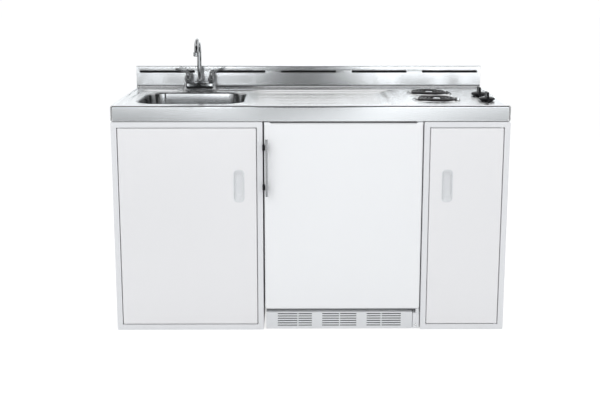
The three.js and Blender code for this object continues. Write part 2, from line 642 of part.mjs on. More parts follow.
for (const [side, x] of Object.entries(valves)) {
  const top = deckZ - SHEET - SEAT;
  const [inner, outer] = [SHANK_RADIUS + SEAT, SHANK_RADIUS + 9];
  add(`tap_fixing_nut_${side}`, turned([
    [inner, top], [outer + 4, top], [outer + 4, top - 2], [outer, top - 3], [outer, top - 13], [inner, top - 13],
    [inner, top],
  ], x, TAP_BEHIND, 12), galvanised);
}

// A lever: ball collar and neck turned on the valve's axis, and an arm that rises outwards.
function lever(x, outward) {
  const foot = tapBaseTop + SEAT;
  const neck = VALVE_RADIUS * 0.62;
  const ball = arc(0, foot + 14, VALVE_RADIUS, -48, 48, 4);
  const hub = turned([[0, foot], [VALVE_RADIUS - 4, foot], [VALVE_RADIUS - 4, foot + 1.5], ...ball,
    [neck, foot + 27], [neck + 1.2, foot + 31], [neck, foot + 34], [neck - 1, foot + VALVE_HEIGHT - 5],
    [neck - 4, foot + VALVE_HEIGHT], [0, foot + VALVE_HEIGHT + 1]], x, TAP_BEHIND, 12);
  const start = new THREE.Vector3(x, TAP_BEHIND, foot + VALVE_HEIGHT - 6);
  const tip = new THREE.Vector3(x + outward * LEVER_REACH, TAP_BEHIND, foot + VALVE_HEIGHT - 6 + LEVER_RISE);
  const bend = new THREE.Vector3(x + outward * LEVER_REACH * 0.3, TAP_BEHIND, start.z + LEVER_RISE * 0.62);
  const steps = 9;
  const points = new THREE.QuadraticBezierCurve3(start, bend, tip).getPoints(steps);
  const radii = points.map((_, i) => {
    const t = i / steps;
    if (t === 1) return PADDLE_RADIUS * 0.7;
    if (t > 0.75) return PADDLE_RADIUS;
    return THREE.MathUtils.lerp(LEVER_RADIUS * 1.35, LEVER_RADIUS, Math.min(1, t / 0.5));
  });
  return hub.add(sweep(points.map((p) => p.toArray()), radii, 8));
}
add('tap_hot_lever', lever(valves.left, -1), chrome);
add('tap_cold_lever', lever(valves.right, 1), chrome);

const collarTop = tapBaseTop + SEAT + SPOUT_COLLAR_HEIGHT;
const spoutNeck = SPOUT_RADIUS * 0.76;
function spoutCollar() {
  const [low, r, bore] = [tapBaseTop + SEAT, SPOUT_COLLAR_RADIUS, spoutNeck + SEAT];
  return turned([
    [bore, low], [r - 3, low], [r - 3, low + 2], ...arc(0, low + 11, r, -42, 42, 4),
    [r - 3, collarTop - 2], [bore + 1.2, collarTop], [bore, collarTop], [bore, low],
  ], tapX, TAP_BEHIND, 14);
}
add('tap_spout_collar', spoutCollar(), chrome);

const outletZ = deckZ + SPOUT_OUTLET;
const spoutArcZ = outletZ + 6;
const spoutEnd = spoutArcZ - 1.5;
function spout() {
  const r = SPOUT_REACH / 2;
  const riser = [[tapBaseTop + 2 * SEAT, spoutNeck], [collarTop + 3, spoutNeck], [collarTop + 16, SPOUT_RADIUS * 0.9],
    [collarTop + 40, SPOUT_RADIUS]];
  const bow = [...arc(TAP_BEHIND - r, spoutArcZ, r, 0, 180, 15), [TAP_BEHIND - SPOUT_REACH, spoutEnd]];
  const points = [...riser.map(([z]) => [tapX, TAP_BEHIND, z]), ...bow.map(([y, z]) => [tapX, y, z])];
  const radii = [...riser.map(([, radius]) => radius), ...bow.map(() => SPOUT_RADIUS)];
  return sweep(points, radii, 12);
}
add('tap_spout', spout(), chrome);

const outletY = TAP_BEHIND - SPOUT_REACH;
add('tap_aerator', turned([
  [0, outletZ + 2], [AERATOR_RADIUS - 3, outletZ + 2], [AERATOR_RADIUS - 2, outletZ], [AERATOR_RADIUS - 0.8, outletZ],
  [AERATOR_RADIUS, outletZ + 2], [AERATOR_RADIUS, outletZ + AERATOR_LENGTH - 3],
  [AERATOR_RADIUS - 0.6, outletZ + AERATOR_LENGTH], [SPOUT_RADIUS + 1.8, outletZ + AERATOR_LENGTH],
  [SPOUT_RADIUS + 1.8, spoutEnd - SEAT], [0, spoutEnd - SEAT],
], tapX, outletY, 16), chrome);

// ---- Hob --------------------------------------------------------------------------------

const hotplates = { front: FRONT_PLATE, rear: REAR_PLATE };
const coilZ = deckZ + COIL_LIFT;
const legZ = coilZ - LEG_DROP;
const ledgeZ = deckZ - 0.2;
const panFloor = deckZ - PAN_DEPTH;

function dripPan(y) {
  const t = PAN_THICK;
  const top = deckZ + PAN_BEAD;
  const pan = turned([
    [0, panFloor], [PAN_FLOOR, panFloor], [PAN_BOWL - 10, panFloor + 9],
    [PAN_BOWL, ledgeZ], [PAN_LEDGE, ledgeZ], [PAN_LEDGE + 2, top - 0.8], [PAN_LEDGE + 3.2, top],
    [PAN_RADIUS, deckZ + SEAT], [PAN_RADIUS - t, deckZ + SEAT],
    [PAN_LEDGE + 2.6, top - t - 0.6], [PAN_LEDGE + 0.9, ledgeZ - t], [PAN_BOWL - 0.6, ledgeZ - t],
    [PAN_BOWL - 10, panFloor + 9 - t], [PAN_FLOOR, panFloor - t], [0, panFloor - t],
  ], hobX, y, 24);
  const drain = rod(11, 'z', panFloor - 5, panFloor + 5, [hobX, y, 0], 12);
  const clear = LEG_SPREAD / 2 + COIL_LEG + 3;
  const legSlot = block(hobX + PAN_FLOOR + 20, hobX + PAN_RADIUS + 5, y - clear, y + clear, legZ - 6, legZ + 7);
  return cut(pan, drain, legSlot);
}

// The heating tube: one leg in, a flat spiral from the middle outwards, one leg out.
function coilPath(y) {
  const startAngle = -Math.asin(LEG_SPREAD / 2 / COIL_INNER);
  const endAngle = Math.asin(LEG_SPREAD / 2 / COIL_OUTER);
  const turns = COIL_TURNS + (endAngle - startAngle) / (2 * Math.PI);
  const steps = 22 * COIL_TURNS;
  const place = (x, across, z) => [hobX + x, y + across, z];
  const spiral = Array.from({ length: steps + 1 }, (_, i) => {
    const t = i / steps;
    const angle = startAngle + t * turns * 2 * Math.PI;
    const radius = COIL_INNER + (COIL_OUTER - COIL_INNER) * t;
    return place(radius * Math.cos(angle), radius * Math.sin(angle), coilZ);
  });
  const half = LEG_SPREAD / 2;
  const innerX = COIL_INNER * Math.cos(startAngle);
  const outerX = COIL_OUTER * Math.cos(endAngle);
  const legIn = [place(LEG_REACH, -half, legZ), place(innerX + 12, -half, legZ), place(innerX + 5, -half, legZ + 1),
    place(innerX + 1.5, -half - 1, legZ + 5), place(innerX, -half - 1.2, coilZ - 5)];
  const legOut = [place(outerX - 1.5, half + 2.5, coilZ - 4), place(outerX - 0.5, half + 1.5, legZ + 5),
    place(outerX + 2.5, half, legZ + 1), place(outerX + 7, half, legZ), place(LEG_REACH, half, legZ)];
  return { points: [...legIn, ...spiral, ...legOut], legIn: legIn.length, legOut: legOut.length };
}

function coilElement(y) {
  const { points, legIn, legOut } = coilPath(y);
  const radii = points.map((_, i) => {
    const fromEnd = Math.min(i / legIn, (points.length - 1 - i) / legOut);
    return THREE.MathUtils.lerp(COIL_LEG, COIL_WIRE, Math.min(1, fromEnd));
  });
  return sweep(points, radii, 6);
}

function leastCoilGap(y) {
  const { points } = coilPath(y);
  const path = points.map((p) => new THREE.Vector3(...p));
  const lengths = path.map((p, i) => (i ? p.distanceTo(path[i - 1]) : 0));
  const along = lengths.map((sum => (step) => (sum += step))(0));
  let least = Infinity;
  for (let i = 0; i < path.length; i++)
    for (let j = i + 1; j < path.length; j++)
      if (along[j] - along[i] > 8 * COIL_WIRE) least = Math.min(least, path[i].distanceTo(path[j]));
  return least - 2 * COIL_WIRE;
}
console.log(`least gap between the turns of a hotplate coil: ${leastCoilGap(FRONT_PLATE).toFixed(2)} mm`);

// Three thin arms on edge under the turns, resting on the pan's ledge, and a centre disc.
function coilSupport(y) {
  const armTop = coilZ - COIL_WIRE - SEAT;
  const armEnd = PAN_LEDGE - 1;
  const step = PAN_BOWL - 4;
  const profile = [[4, armTop], [4, armTop - SUPPORT_HEIGHT], [step - 3, armTop - SUPPORT_HEIGHT],
    [step, ledgeZ + SEAT], [armEnd, ledgeZ + SEAT], [armEnd, armTop]];
  const arms = Array.from({ length: SUPPORT_ARMS }, (_, i) => {
    const angle = (180 + i * 360 / SUPPORT_ARMS) / 180 * Math.PI;
    return prism(profile, 'y', -SUPPORT_THICK / 2, SUPPORT_THICK / 2).rotate([0, 0, angle / Math.PI * 180])
      .translate([hobX, y, 0]);
  });
  const disc = turned([[0, armTop - SUPPORT_HEIGHT], [MEDALLION_RADIUS - 5, armTop - SUPPORT_HEIGHT],
    [MEDALLION_RADIUS, armTop - 1], [MEDALLION_RADIUS, armTop + COIL_WIRE], [MEDALLION_RADIUS - 2, armTop + 5],
    [0, armTop + 5.6]], hobX, y, 16);
  return join(disc, ...arms);
}

function terminalBlock(y) {
  const [mouth, back] = [hobX + SOCKET_MOUTH, hobX + LEG_REACH + 12];
  const reach = LEG_SPREAD / 2 + COIL_LEG + 7;
  const top = deckZ - SHEET - 2;
  const body = block(mouth, back, y - reach, y + reach, legZ - 11, top);
  const foot = block(mouth + 8, back - 4, y - reach + 5, y + reach - 5, trayFloor + STEEL + SEAT, legZ - 10);
  const socket = (across) => block(mouth - 1, hobX + LEG_REACH + 2, y + across - COIL_LEG - 2,
    y + across + COIL_LEG + 2, legZ - COIL_LEG - 4, legZ + COIL_LEG + 2);
  return cut(join(body, foot), socket(-LEG_SPREAD / 2), socket(LEG_SPREAD / 2));
}

for (const [place, y] of Object.entries(hotplates)) {
  add(`${place}_drip_pan`, dripPan(y), chrome);
  add(`${place}_coil`, coilElement(y), blackTube);
  add(`${place}_coil_support`, coilSupport(y), chrome);
  add(`${place}_terminal_block`, terminalBlock(y), ceramic);
}

function hobTray() {
  const [x0, x1, y0, y1] = [hobX - TRAY_LEFT, hobX + TRAY_RIGHT, TRAY_FRONT, TRAY_BACK];
  const top = deckZ - SHEET - SEAT;
  const shell = block(x0, x1, y0, y1, trayFloor, top);
  const flange = block(x0 - 10, x1 + 7, y0 - 10, y1 + 10, top - STEEL, top);
  return cut(join(shell, flange), block(x0 + STEEL, x1 - STEEL, y0 + STEEL, y1 - STEEL, trayFloor + STEEL, top + 1));
}
add('hob_tray', hobTray(), galvanised);

// ---- Hob controls -------------------------------------------------------------------------

function heatSwitch(y) {
  const under = deckZ - SHEET - SEAT;
  const half = SWITCH_SIZE / 2;
  const body = block(knobX - half, knobX + half, y - half, y + half, under - SWITCH_HEIGHT, under);
  const bush = rod(BUSH_RADIUS, 'z', under - 1, deckZ + SEAT + 1, [knobX, y, 0], 12);
  const bezel = turned([[0, deckZ + SEAT], [BEZEL_RADIUS, deckZ + SEAT], [BEZEL_RADIUS, deckZ + 1],
    [BEZEL_RADIUS - 2, deckZ + 2], [0, deckZ + 2]], knobX, y, 20);
  const shaft = rod(SHAFT_RADIUS, 'z', deckZ + 1, deckZ + KNOB_SKIRT - 2, [knobX, y, 0], 10);
  return join(body, bush, bezel, shaft);
}

function knob(y) {
  const low = deckZ + 2 + 2 * SEAT;
  const [r, h] = [KNOB_RADIUS, KNOB_SKIRT];
  const skirt = turned([[0, low], [r * 0.74, low], [r * 0.92, low + h * 0.16], [r, low + h * 0.42],
    [r * 0.92, low + h * 0.66], [r * 0.62, low + h * 0.9], [0, low + h]], knobX, y, 18);
  const [half, long] = [KNOB_FIN / 2, KNOB_RADIUS + 1.5];
  const level = (narrow, short, z) => flat(ring(knobX - half + narrow, knobX + half - narrow, y - long + short,
    y + long - short, half - narrow, 2), z);
  const top = deckZ + KNOB_HEIGHT;
  const fin = loft([level(0, 0, low), level(0, 0, low + h * 0.5), level(0.8, 6, low + h), level(1.2, 9, top - 3),
    level(2.6, 11, top)]);
  return cut(join(skirt, fin), rod(SHAFT_RADIUS + 2 * SEAT, 'z', low - 1, deckZ + KNOB_SKIRT - 1, [knobX, y, 0], 10));
}

for (const [place, y] of [['front', FRONT_KNOB], ['rear', REAR_KNOB]]) {
  add(`${place}_heat_switch`, heatSwitch(y), galvanised);
  add(`${place}_knob`, knob(y), blackPlastic);
}

// ---- Cupboards ------------------------------------------------------------------------------

const frameTop = apronZ - SHADOW_GAP;
const frameDepth = DOOR_THICK + STOP_GAP + STEEL;
const wrapperTop = apronZ - SEAT;

const opening = (x0, x1) => ({ x0: x0 + FRAME, x1: x1 - FRAME, z0: FRAME, z1: frameTop - FRAME });
const doorOf = (x0, x1) => {
  const hole = opening(x0, x1);
  return { x0: hole.x0 + DOOR_GAP, x1: hole.x1 - DOOR_GAP, z0: hole.z0 + DOOR_GAP, z1: hole.z1 - DOOR_GAP };
};

// One sheet folded round the sides and back, with flanges along the top that carry the worktop.
function wrapper(x0, x1) {
  const front = frameDepth + SEAT;
  const shell = block(x0, x1, front, cupboardBack, 0, wrapperTop);
  const inside = block(x0 + STEEL, x1 - STEEL, front - 1, cupboardBack - STEEL, -1, wrapperTop - STEEL);
  const mouth = block(x0 + SEAT_FLANGE, x1 - SEAT_FLANGE, front - 1, cupboardBack - SEAT_FLANGE,
    wrapperTop - STEEL - 1, wrapperTop + 1);
  return cut(shell, inside, mouth);
}

function cupboardBase(x0, x1) {
  const gap = STEEL + SEAT;
  const [front, back] = [frameDepth + SEAT, cupboardBack - gap];
  const tray = block(x0 + gap, x1 - gap, front, back, 0, BASE_HEIGHT);
  return cut(tray, block(x0 + gap + STEEL, x1 - gap - STEEL, front + STEEL, back - STEEL, -1, BASE_HEIGHT - STEEL));
}

// A folded channel on all four sides of the doorway, with a lip behind the door.
function frontFrame(x0, x1, pinX) {
  const hole = opening(x0, x1);
  const bar = panel(x0, x1, 0, frameTop, 0, frameDepth, FRAME_RADIUS, FRAME_EDGE);
  const doorway = block(hole.x0, hole.x1, -1, DOOR_THICK + STOP_GAP, hole.z0, hole.z1);
  const through = block(hole.x0 + STOP_LIP, hole.x1 - STOP_LIP, DOOR_THICK, frameDepth + 1,
    hole.z0 + STOP_LIP, hole.z1 - STOP_LIP);
  const fold = (inset, y) => block(x0 + inset, x1 - inset, y, frameDepth + 1, inset, frameTop - inset);
  const core = cut(fold(FRAME_EDGE + STEEL, FRAME_EDGE + STEEL),
    block(hole.x0 - STEEL, hole.x1 + STEEL, 0, frameDepth + 2, hole.z0 - STEEL, hole.z1 + STEEL));
  const sockets = [[hole.z0 - 5, hole.z0 + 1], [hole.z1 - 1, hole.z1 + 5]]
    .map(([low, high]) => rod(PIN_RADIUS + SEAT, 'z', low, high, [pinX, PIN_INSET, 0], 12));
  return cut(bar, doorway, through, core, ...sockets);
}

// The finger-pull cup's outline, drawn in at its sides and more at its sloping ends.
function pullRing(x, sides, ends, y) {
  const [half, tall] = [PULL_WIDTH / 2 - sides, PULL_HEIGHT / 2 - ends];
  return upright(ring(x - half, x + half, PULL_Z - tall, PULL_Z + tall, PULL_RADIUS - sides, 3), y);
}

function pullCup(x) {
  const w = PULL_WALL;
  return loft([
    pullRing(x, 6, 27, PULL_DEPTH + w), pullRing(x, 3, 20, PULL_DEPTH + w), pullRing(x, 1.2, 4, 4),
    pullRing(x, 1.2, 1.2, -SEAT), pullRing(x, -0.8, -0.8, -SEAT), pullRing(x, -0.4, -0.4, -SEAT - 0.8),
    pullRing(x, 1.6, 1.6, -SEAT - 0.8), pullRing(x, 1.2 + w, 2 + w, 0.5), pullRing(x, 1.4 + w, 4 + w, 4),
    pullRing(x, 4 + w, 20 + w, PULL_DEPTH), pullRing(x, 7 + w, 27 + w, PULL_DEPTH),
  ]);
}

function cupboardDoor(x0, x1, pinX, pullX) {
  const d = doorOf(x0, x1);
  const slab = panel(d.x0, d.x1, d.z0, d.z1, 0, DOOR_THICK, DOOR_RADIUS, DOOR_EDGE);
  const margin = 26;
  const pressing = (grow, y) => upright(ring(d.x0 + margin - grow, d.x1 - margin + grow, d.z0 + margin - grow,
    d.z1 - margin + grow, 12, 3), y);
  const pocket = loft([pullRing(pullX, 2, 19, PULL_DEPTH + PULL_WALL + SEAT), pullRing(pullX, 0.9, 3.6, 4),
    pullRing(pullX, 0.9, 0.9, 0), pullRing(pullX, 0.9, 0.9, -1)]);
  const pins = [[d.z0 - DOOR_GAP - PIN_LENGTH, d.z0 + 3], [d.z1 - 3, d.z1 + DOOR_GAP + PIN_LENGTH]]
    .map(([low, high]) => rod(PIN_RADIUS, 'z', low, high, [pinX, PIN_INSET, 0], 12));
  const body = cut(slab, pocket, loft([pressing(0, DOOR_THICK - DOOR_PRESSING), pressing(2, DOOR_THICK + 1)]));
  return join(body, ...pins);
}

// The catch stands behind the stop lip on the door's free side and reaches to its back.
function magneticCatch(hole, freeSide) {
  const lip = freeSide > 0 ? hole.x1 - STOP_LIP : hole.x0 + STOP_LIP;
  const [near, far] = [lip - freeSide * SEAT, lip - freeSide * (SEAT + CATCH_WIDTH)];
  const z = PULL_Z + PULL_HEIGHT;
  return block(Math.min(near, far), Math.max(near, far), DOOR_THICK + SEAT, frameDepth + 14,
    z - CATCH_HEIGHT / 2, z + CATCH_HEIGHT / 2);
}

const cupboards = [
  { name: 'left', x0: LEFT, x1: bayX0, hinge: -1 },
  { name: 'right', x0: bayX1, x1: RIGHT, hinge: 1 },
];
for (const { name, x0, x1, hinge } of cupboards) {
  const d = doorOf(x0, x1);
  const pinX = hinge < 0 ? d.x0 + PIN_INSET : d.x1 - PIN_INSET;
  const pullX = hinge < 0 ? d.x1 - PULL_FROM_EDGE : d.x0 + PULL_FROM_EDGE;
  add(`${name}_cupboard_wrapper`, wrapper(x0, x1), whiteEnamel);
  add(`${name}_cupboard_base`, cupboardBase(x0, x1), whiteEnamel);
  add(`${name}_cupboard_frame`, frontFrame(x0, x1, pinX), whiteEnamel);
  add(`${name}_door`, cupboardDoor(x0, x1, pinX, pullX), whiteEnamel);
  add(`${name}_door_pull`, pullCup(pullX), whitePlastic);
  add(`${name}_door_catch`, magneticCatch(opening(x0, x1), -hinge), whitePlastic);
}

function cupboardShelf(x0, x1) {
  const gap = STEEL + SEAT;
  const [front, back, hem] = [frameDepth + 30, cupboardBack - gap, 18];
  const tray = block(x0 + gap, x1 - gap, front, back, SHELF_Z - hem, SHELF_Z);
  return cut(tray, block(x0 + gap + STEEL, x1 - gap - STEEL, front + STEEL, back - STEEL,
    SHELF_Z - hem - 1, SHELF_Z - STEEL));
}
add('right_cupboard_shelf', cupboardShelf(bayX1, RIGHT), whiteEnamel);

// ---- Refrigerator cabinet -----------------------------------------------------------------

const cavity = {
  x0: fridge.x0 + FOAM, x1: fridge.x1 - FOAM, y0: FRIDGE_FRONT - 1, y1: FRIDGE_BACK - FOAM,
  z0: FRIDGE_FLOOR + FOAM, z1: fridgeTop - FOAM,
};
// The food space, less the step over the compressor, drawn in by a wall.
function foodSpace(wall) {
  const room = block(cavity.x0 + wall, cavity.x1 - wall, cavity.y0 - 10, cavity.y1 - wall,
    cavity.z0 + wall, cavity.z1 - wall);
  return cut(room, block(cavity.x0 - 1, cavity.x1 + 1, MACHINE_FRONT - FOAM - wall, FRIDGE_BACK,
    0, MACHINE_TOP + FOAM + wall));
}

function fridgeCabinet() {
  const { x0, x1 } = fridge;
  const box = block(x0, x1, FRIDGE_FRONT, FRIDGE_BACK, FRIDGE_BOTTOM, fridgeTop);
  const below = block(x0 + SKIRT, x1 - SKIRT, FRIDGE_FRONT - 1, MACHINE_FRONT + 1, FRIDGE_BOTTOM - 1, FRIDGE_FLOOR);
  const machine = block(x0 + SKIRT, x1 - SKIRT, MACHINE_FRONT, FRIDGE_BACK + 1, FRIDGE_BOTTOM - 1, MACHINE_TOP);
  const crossbar = block(x0 + 1, x1 - 1, FRIDGE_FRONT, FRIDGE_FRONT + 40, FRIDGE_BOTTOM, FRIDGE_BOTTOM + 12);
  const machinePlate = block(x0 + 1, x1 - 1, MACHINE_FRONT, FRIDGE_BACK, FRIDGE_BOTTOM, FRIDGE_BOTTOM + 3);
  const feet = [x0 + 45, x1 - 45].flatMap((x) => [FRIDGE_FRONT + 20, FRIDGE_BACK - 30]
    .map((y) => rod(FOOT_RADIUS, 'z', 0, FRIDGE_BOTTOM + 1, [x, y, 0], 16)));
  return join(cut(box, foodSpace(0), below, machine), crossbar, machinePlate, ...feet);
}
add('fridge_cabinet', fridgeCabinet(), whiteEnamel);

const flangeFront = FRIDGE_FRONT - SEAT - LINER;
const shelfLevels = { lower: LOWER_SHELF, upper: UPPER_SHELF };
const innerX0 = cavity.x0 + SEAT + LINER;
const innerX1 = cavity.x1 - SEAT - LINER;
function fridgeLiner() {
  const rim = LINER_FLANGE;
  const flange = block(cavity.x0 - rim, cavity.x1 + rim, flangeFront, FRIDGE_FRONT - SEAT, cavity.z0 - rim,
    cavity.z1 + rim);
  const before = block(cavity.x0 - rim - 1, cavity.x1 + rim + 1, -100, flangeFront, 0, fridgeTop + 10);
  const tub = cut(join(flange, cut(foodSpace(SEAT), before)), foodSpace(SEAT + LINER));
  const rails = Object.values(shelfLevels).flatMap((z) => [[innerX0 - 1, innerX0 + RAIL_REACH],
    [innerX1 - RAIL_REACH, innerX1 + 1]].map(([x0, x1]) => block(x0, x1, RAIL_FRONT, RAIL_BACK, z - 8, z - SEAT)));
  return join(tub, ...rails);
}
add('fridge_liner', fridgeLiner(), innerPlastic);

const linerBack = cavity.y1 - SEAT - LINER;
function fridgeShelf(z) {
  const plate = (inset, level) => flat(ring(innerX0 + SEAT + inset, innerX1 - SEAT - inset, RAIL_FRONT + inset,
    linerBack - 3 - inset, 6, 1), level);
  const lip = block(innerX0 + 4, innerX1 - 4, RAIL_FRONT - 2, RAIL_FRONT + 8, z + 1, z + SHELF_THICK + 5);
  return join(loft([plate(0, z), plate(0, z + SHELF_THICK - 1), plate(1, z + SHELF_THICK)]), lip);
}
for (const [place, z] of Object.entries(shelfLevels)) add(`fridge_shelf_${place}`, fridgeShelf(z), glass);

// Cold plate on spacers at the back wall, with the refrigerant channel raised on its face.
function evaporator() {
  const [x0, x1] = [cavity.x0 + PLATE_INSET, cavity.x1 - PLATE_INSET];
  const [face, back] = [linerBack - 12, linerBack - 10];
  const plateTop = cavity.z1 - PLATE_DROP;
  const plateBottom = plateTop - PLATE_HEIGHT;
  const plate = block(x0, x1, face, back, plateBottom, plateTop);
  const spacers = [x0 + 20, x1 - 20].flatMap((x) => [plateBottom + 20, plateTop - 20]
    .map((z) => rod(6, 'y', back - 1, linerBack - SEAT, [x, 0, z], 12)));
  const rows = 3;
  const pitch = (plateTop - plateBottom - 50) / (rows - 1);
  return join(plate, ...spacers, sweep(serpentine(x0 + 45, x1 - 45, plateBottom + 25, pitch, rows, face), 3.5, 6));
}

// Level runs joined by half-circle bends, from the bottom up, in a plane facing the front.
function serpentine(x0, x1, z0, pitch, rows, y) {
  return Array.from({ length: rows }, (_, i) => {
    const z = z0 + i * pitch;
    const [from, to, turn] = i % 2 ? [x1, x0, 1] : [x0, x1, -1];
    const run = [[from, y, z], [to, y, z]];
    if (i === rows - 1) return run;
    const bend = arc(0, z + pitch / 2, pitch / 2, -90, 90, 4).slice(1, -1).map(([u, v]) => [to - turn * u, y, v]);
    return [...run, ...bend];
  }).flat();
}
add('fridge_evaporator', evaporator(), aluminium);

function thermostatDial() {
  const [wall, r, t] = [innerX1 - SEAT, DIAL_RADIUS, DIAL_THICK];
  const disc = turned([[0, 0], [r, 0], [r, t * 0.35], [r * 0.9, t * 0.55], [0, t * 0.55]], 0, 0, 20);
  const grip = loft([flat(ring(-3, 3, -r * 0.85, r * 0.85, 3, 3), t * 0.3), flat(ring(-2, 2, -r * 0.7, r * 0.7, 2, 3), t)]);
  return join(disc, grip).rotate([0, -90, 0]).translate([wall, DIAL_BEHIND, cavity.z1 - DIAL_DROP]);
}
add('fridge_thermostat_dial', thermostatDial(), whitePlastic);

function compressor() {
  const [x, y, r] = [fridge.x1 - COMPRESSOR_FROM_RIGHT, COMPRESSOR_BEHIND, COMPRESSOR_RADIUS];
  const low = FRIDGE_BOTTOM + 3 + SEAT;
  const [body, top] = [low + 12, low + COMPRESSOR_HEIGHT];
  const shell = turned([[0, body - 2], [r * 0.8, body], [r * 0.98, body + 14], [r, top - COMPRESSOR_SEAM],
    [r * 0.98, top - COMPRESSOR_SEAM + 2],
    [r * 0.96, top - 40], [r * 0.78, top - 14], [r * 0.4, top - 2], [0, top]], x, y, 20);
  const plate = block(x - r * 0.95, x + r * 0.95, y - r * 0.8, y + r * 0.8, body - 3, body + 2);
  const feet = [-1, 1].flatMap((i) => [-1, 1].map((j) => rod(8, 'z', low, body - 1,
    [x + i * r * 0.8, y + j * r * 0.65, 0], 10)));
  return join(shell, plate, ...feet);
}
add('fridge_compressor', compressor(), blackPaint);

// Condenser on the back: one tube in level runs, held by two upright straps with feet.
function condenser() {
  const y = FRIDGE_BACK + CONDENSER_GAP;
  const [x0, x1] = [fridge.x0 + CONDENSER_INSET, fridge.x1 - CONDENSER_INSET];
  const bend = CONDENSER_PITCH / 2;
  const tube = sweep(serpentine(x0 + bend, x1 - bend, CONDENSER_BOTTOM, CONDENSER_PITCH, CONDENSER_RUNS, y),
    CONDENSER_TUBE, 5);
  const height = CONDENSER_PITCH * (CONDENSER_RUNS - 1);
  const straps = [x0 + CONDENSER_STRAP, x1 - CONDENSER_STRAP].flatMap((x) => [
    block(x - 7, x + 7, y - 1, y + 1, CONDENSER_BOTTOM - 12, CONDENSER_BOTTOM + height + 12),
    ...[CONDENSER_BOTTOM - 8, CONDENSER_BOTTOM + height + 8].map((z) => block(x - 7, x + 7, FRIDGE_BACK + SEAT,
      y, z - 4, z + 4))]);
  return join(tube, ...straps);
}
add('fridge_condenser', condenser(), blackPaint);

// ---- Kick grille and hinges ---------------------------------------------------------------

const bracketX0 = fridgeDoor.x1 - BRACKET_WIDTH;
function kickGrille() {
  const x0 = fridgeDoor.x0 + KICK_END;
  const [x1, back, t] = [bracketX0 - 1.5, FRIDGE_FRONT - SEAT, KICK_THICK];
  const shell = panel(x0, x1, KICK_BOTTOM, KICK_TOP, KICK_FRONT, back, 2, 2);
  const hollow = block(x0 + t, x1 - t, KICK_FRONT + t, back + 1, KICK_BOTTOM + t, KICK_TOP - t);
  const run = (x1 - x0 - 2 * LOUVRE_MARGIN - (LOUVRE_GROUPS - 1) * LOUVRE_BETWEEN) / LOUVRE_GROUPS;
  const rows = Array.from({ length: LOUVRE_ROWS }, (_, row) => KICK_BOTTOM + LOUVRE_FIRST + row * LOUVRE_PITCH);
  const slots = Array.from({ length: LOUVRE_GROUPS }, (_, i) => {
    const start = x0 + LOUVRE_MARGIN + i * (run + LOUVRE_BETWEEN);
    const divider = start + run * (DIVIDER_SHARE - DIVIDER_STEP * i);
    const slot = (from, to, z) => block(from, to, KICK_FRONT - 1, KICK_FRONT + t + 1,
      z - LOUVRE_HEIGHT / 2, z + LOUVRE_HEIGHT / 2);
    return rows.flatMap((z) => [slot(start, divider, z), slot(divider + LOUVRE_DIVIDER, start + run, z)]);
  }).flat();
  return cut(shell, hollow, ...slots);
}
add('fridge_kick_grille', kickGrille(), whitePlastic);

const barrelRadius = FRIDGE_PIN_INSET;
const barrelTop = FRIDGE_DOOR_BOTTOM - SEAT;
function lowerHinge() {
  const [x, y] = fridgePin;
  const plate = panel(bracketX0, fridgeDoor.x1 + 0.5, KICK_BOTTOM, KICK_TOP - 4, KICK_FRONT, FRIDGE_FRONT - SEAT, 2, 1.5);
  const hollow = block(bracketX0 + 2.5, fridgeDoor.x1 - 2, KICK_FRONT + 2.5, FRIDGE_FRONT, KICK_BOTTOM - 1, KICK_TOP - 8);
  const arm = block(x - barrelRadius, x + barrelRadius, y - 5, FRIDGE_FRONT - SEAT, KICK_TOP - 7, KICK_TOP - 3);
  const barrel = rod(barrelRadius, 'z', KICK_TOP - 6, barrelTop, [x, y, 0], 16);
  const pin = rod(PIN_RADIUS, 'z', KICK_TOP - 4, FRIDGE_DOOR_BOTTOM + 14, [x, y, 0], 12);
  const screw = rod(6, 'y', KICK_FRONT - 2, KICK_FRONT + 1, [bracketX0 + 11, 0, KICK_BOTTOM + 13], 12);
  return join(cut(plate, hollow), arm, barrel, pin, screw);
}
add('fridge_lower_hinge', lowerHinge(), whiteEnamel);

const hingePlateZ = fridgeDoorTop + FRIDGE_CAP_RISE + SEAT;
function upperHinge() {
  const [x, y] = fridgePin;
  const outline = ring(x - 20, fridgeDoor.x1, 1, FRIDGE_FRONT + 40, 5, 3);
  const plate = loft([flat(outline, hingePlateZ), flat(outline, hingePlateZ + 2.6)]);
  const spacer = block(x - 20, fridge.x1 - 1, FRIDGE_FRONT + 4, FRIDGE_FRONT + 40, fridgeTop + SEAT, hingePlateZ + 1);
  const pin = rod(PIN_RADIUS, 'z', fridgeDoorTop - 12, hingePlateZ + 1, [x, y, 0], 12);
  return join(plate, spacer, pin);
}
add('fridge_upper_hinge', upperHinge(), galvanised);

// ---- Refrigerator door --------------------------------------------------------------------

function fridgeDoorShell() {
  const { x0, x1 } = fridgeDoor;
  const [top, capTop] = [fridgeDoorTop, fridgeDoorTop + FRIDGE_CAP_RISE];
  const slab = panel(x0, x1, FRIDGE_DOOR_BOTTOM, capTop, 0, FRIDGE_DOOR_THICK, 3, FRIDGE_DOOR_EDGE);
  const [from, to, slope] = [x0 + FRIDGE_CAP_WIDTH, x1 - FRIDGE_CAP_WIDTH, FRIDGE_CAP_RISE * 1.6];
  const dip = prism([[from, capTop], [from + slope, top], [to - slope, top], [to, capTop], [to, capTop + 5],
    [from, capTop + 5]], 'y', -1, FRIDGE_DOOR_THICK + 1);
  const [x, y] = fridgePin;
  const sockets = [[FRIDGE_DOOR_BOTTOM - 1, FRIDGE_DOOR_BOTTOM + 16], [top - 14, capTop + 1]]
    .map(([low, high]) => rod(PIN_RADIUS + SEAT, 'z', low, high, [x, y, 0], 12));
  return cut(slab, dip, ...sockets);
}
add('fridge_door_shell', fridgeDoorShell(), whiteEnamel);

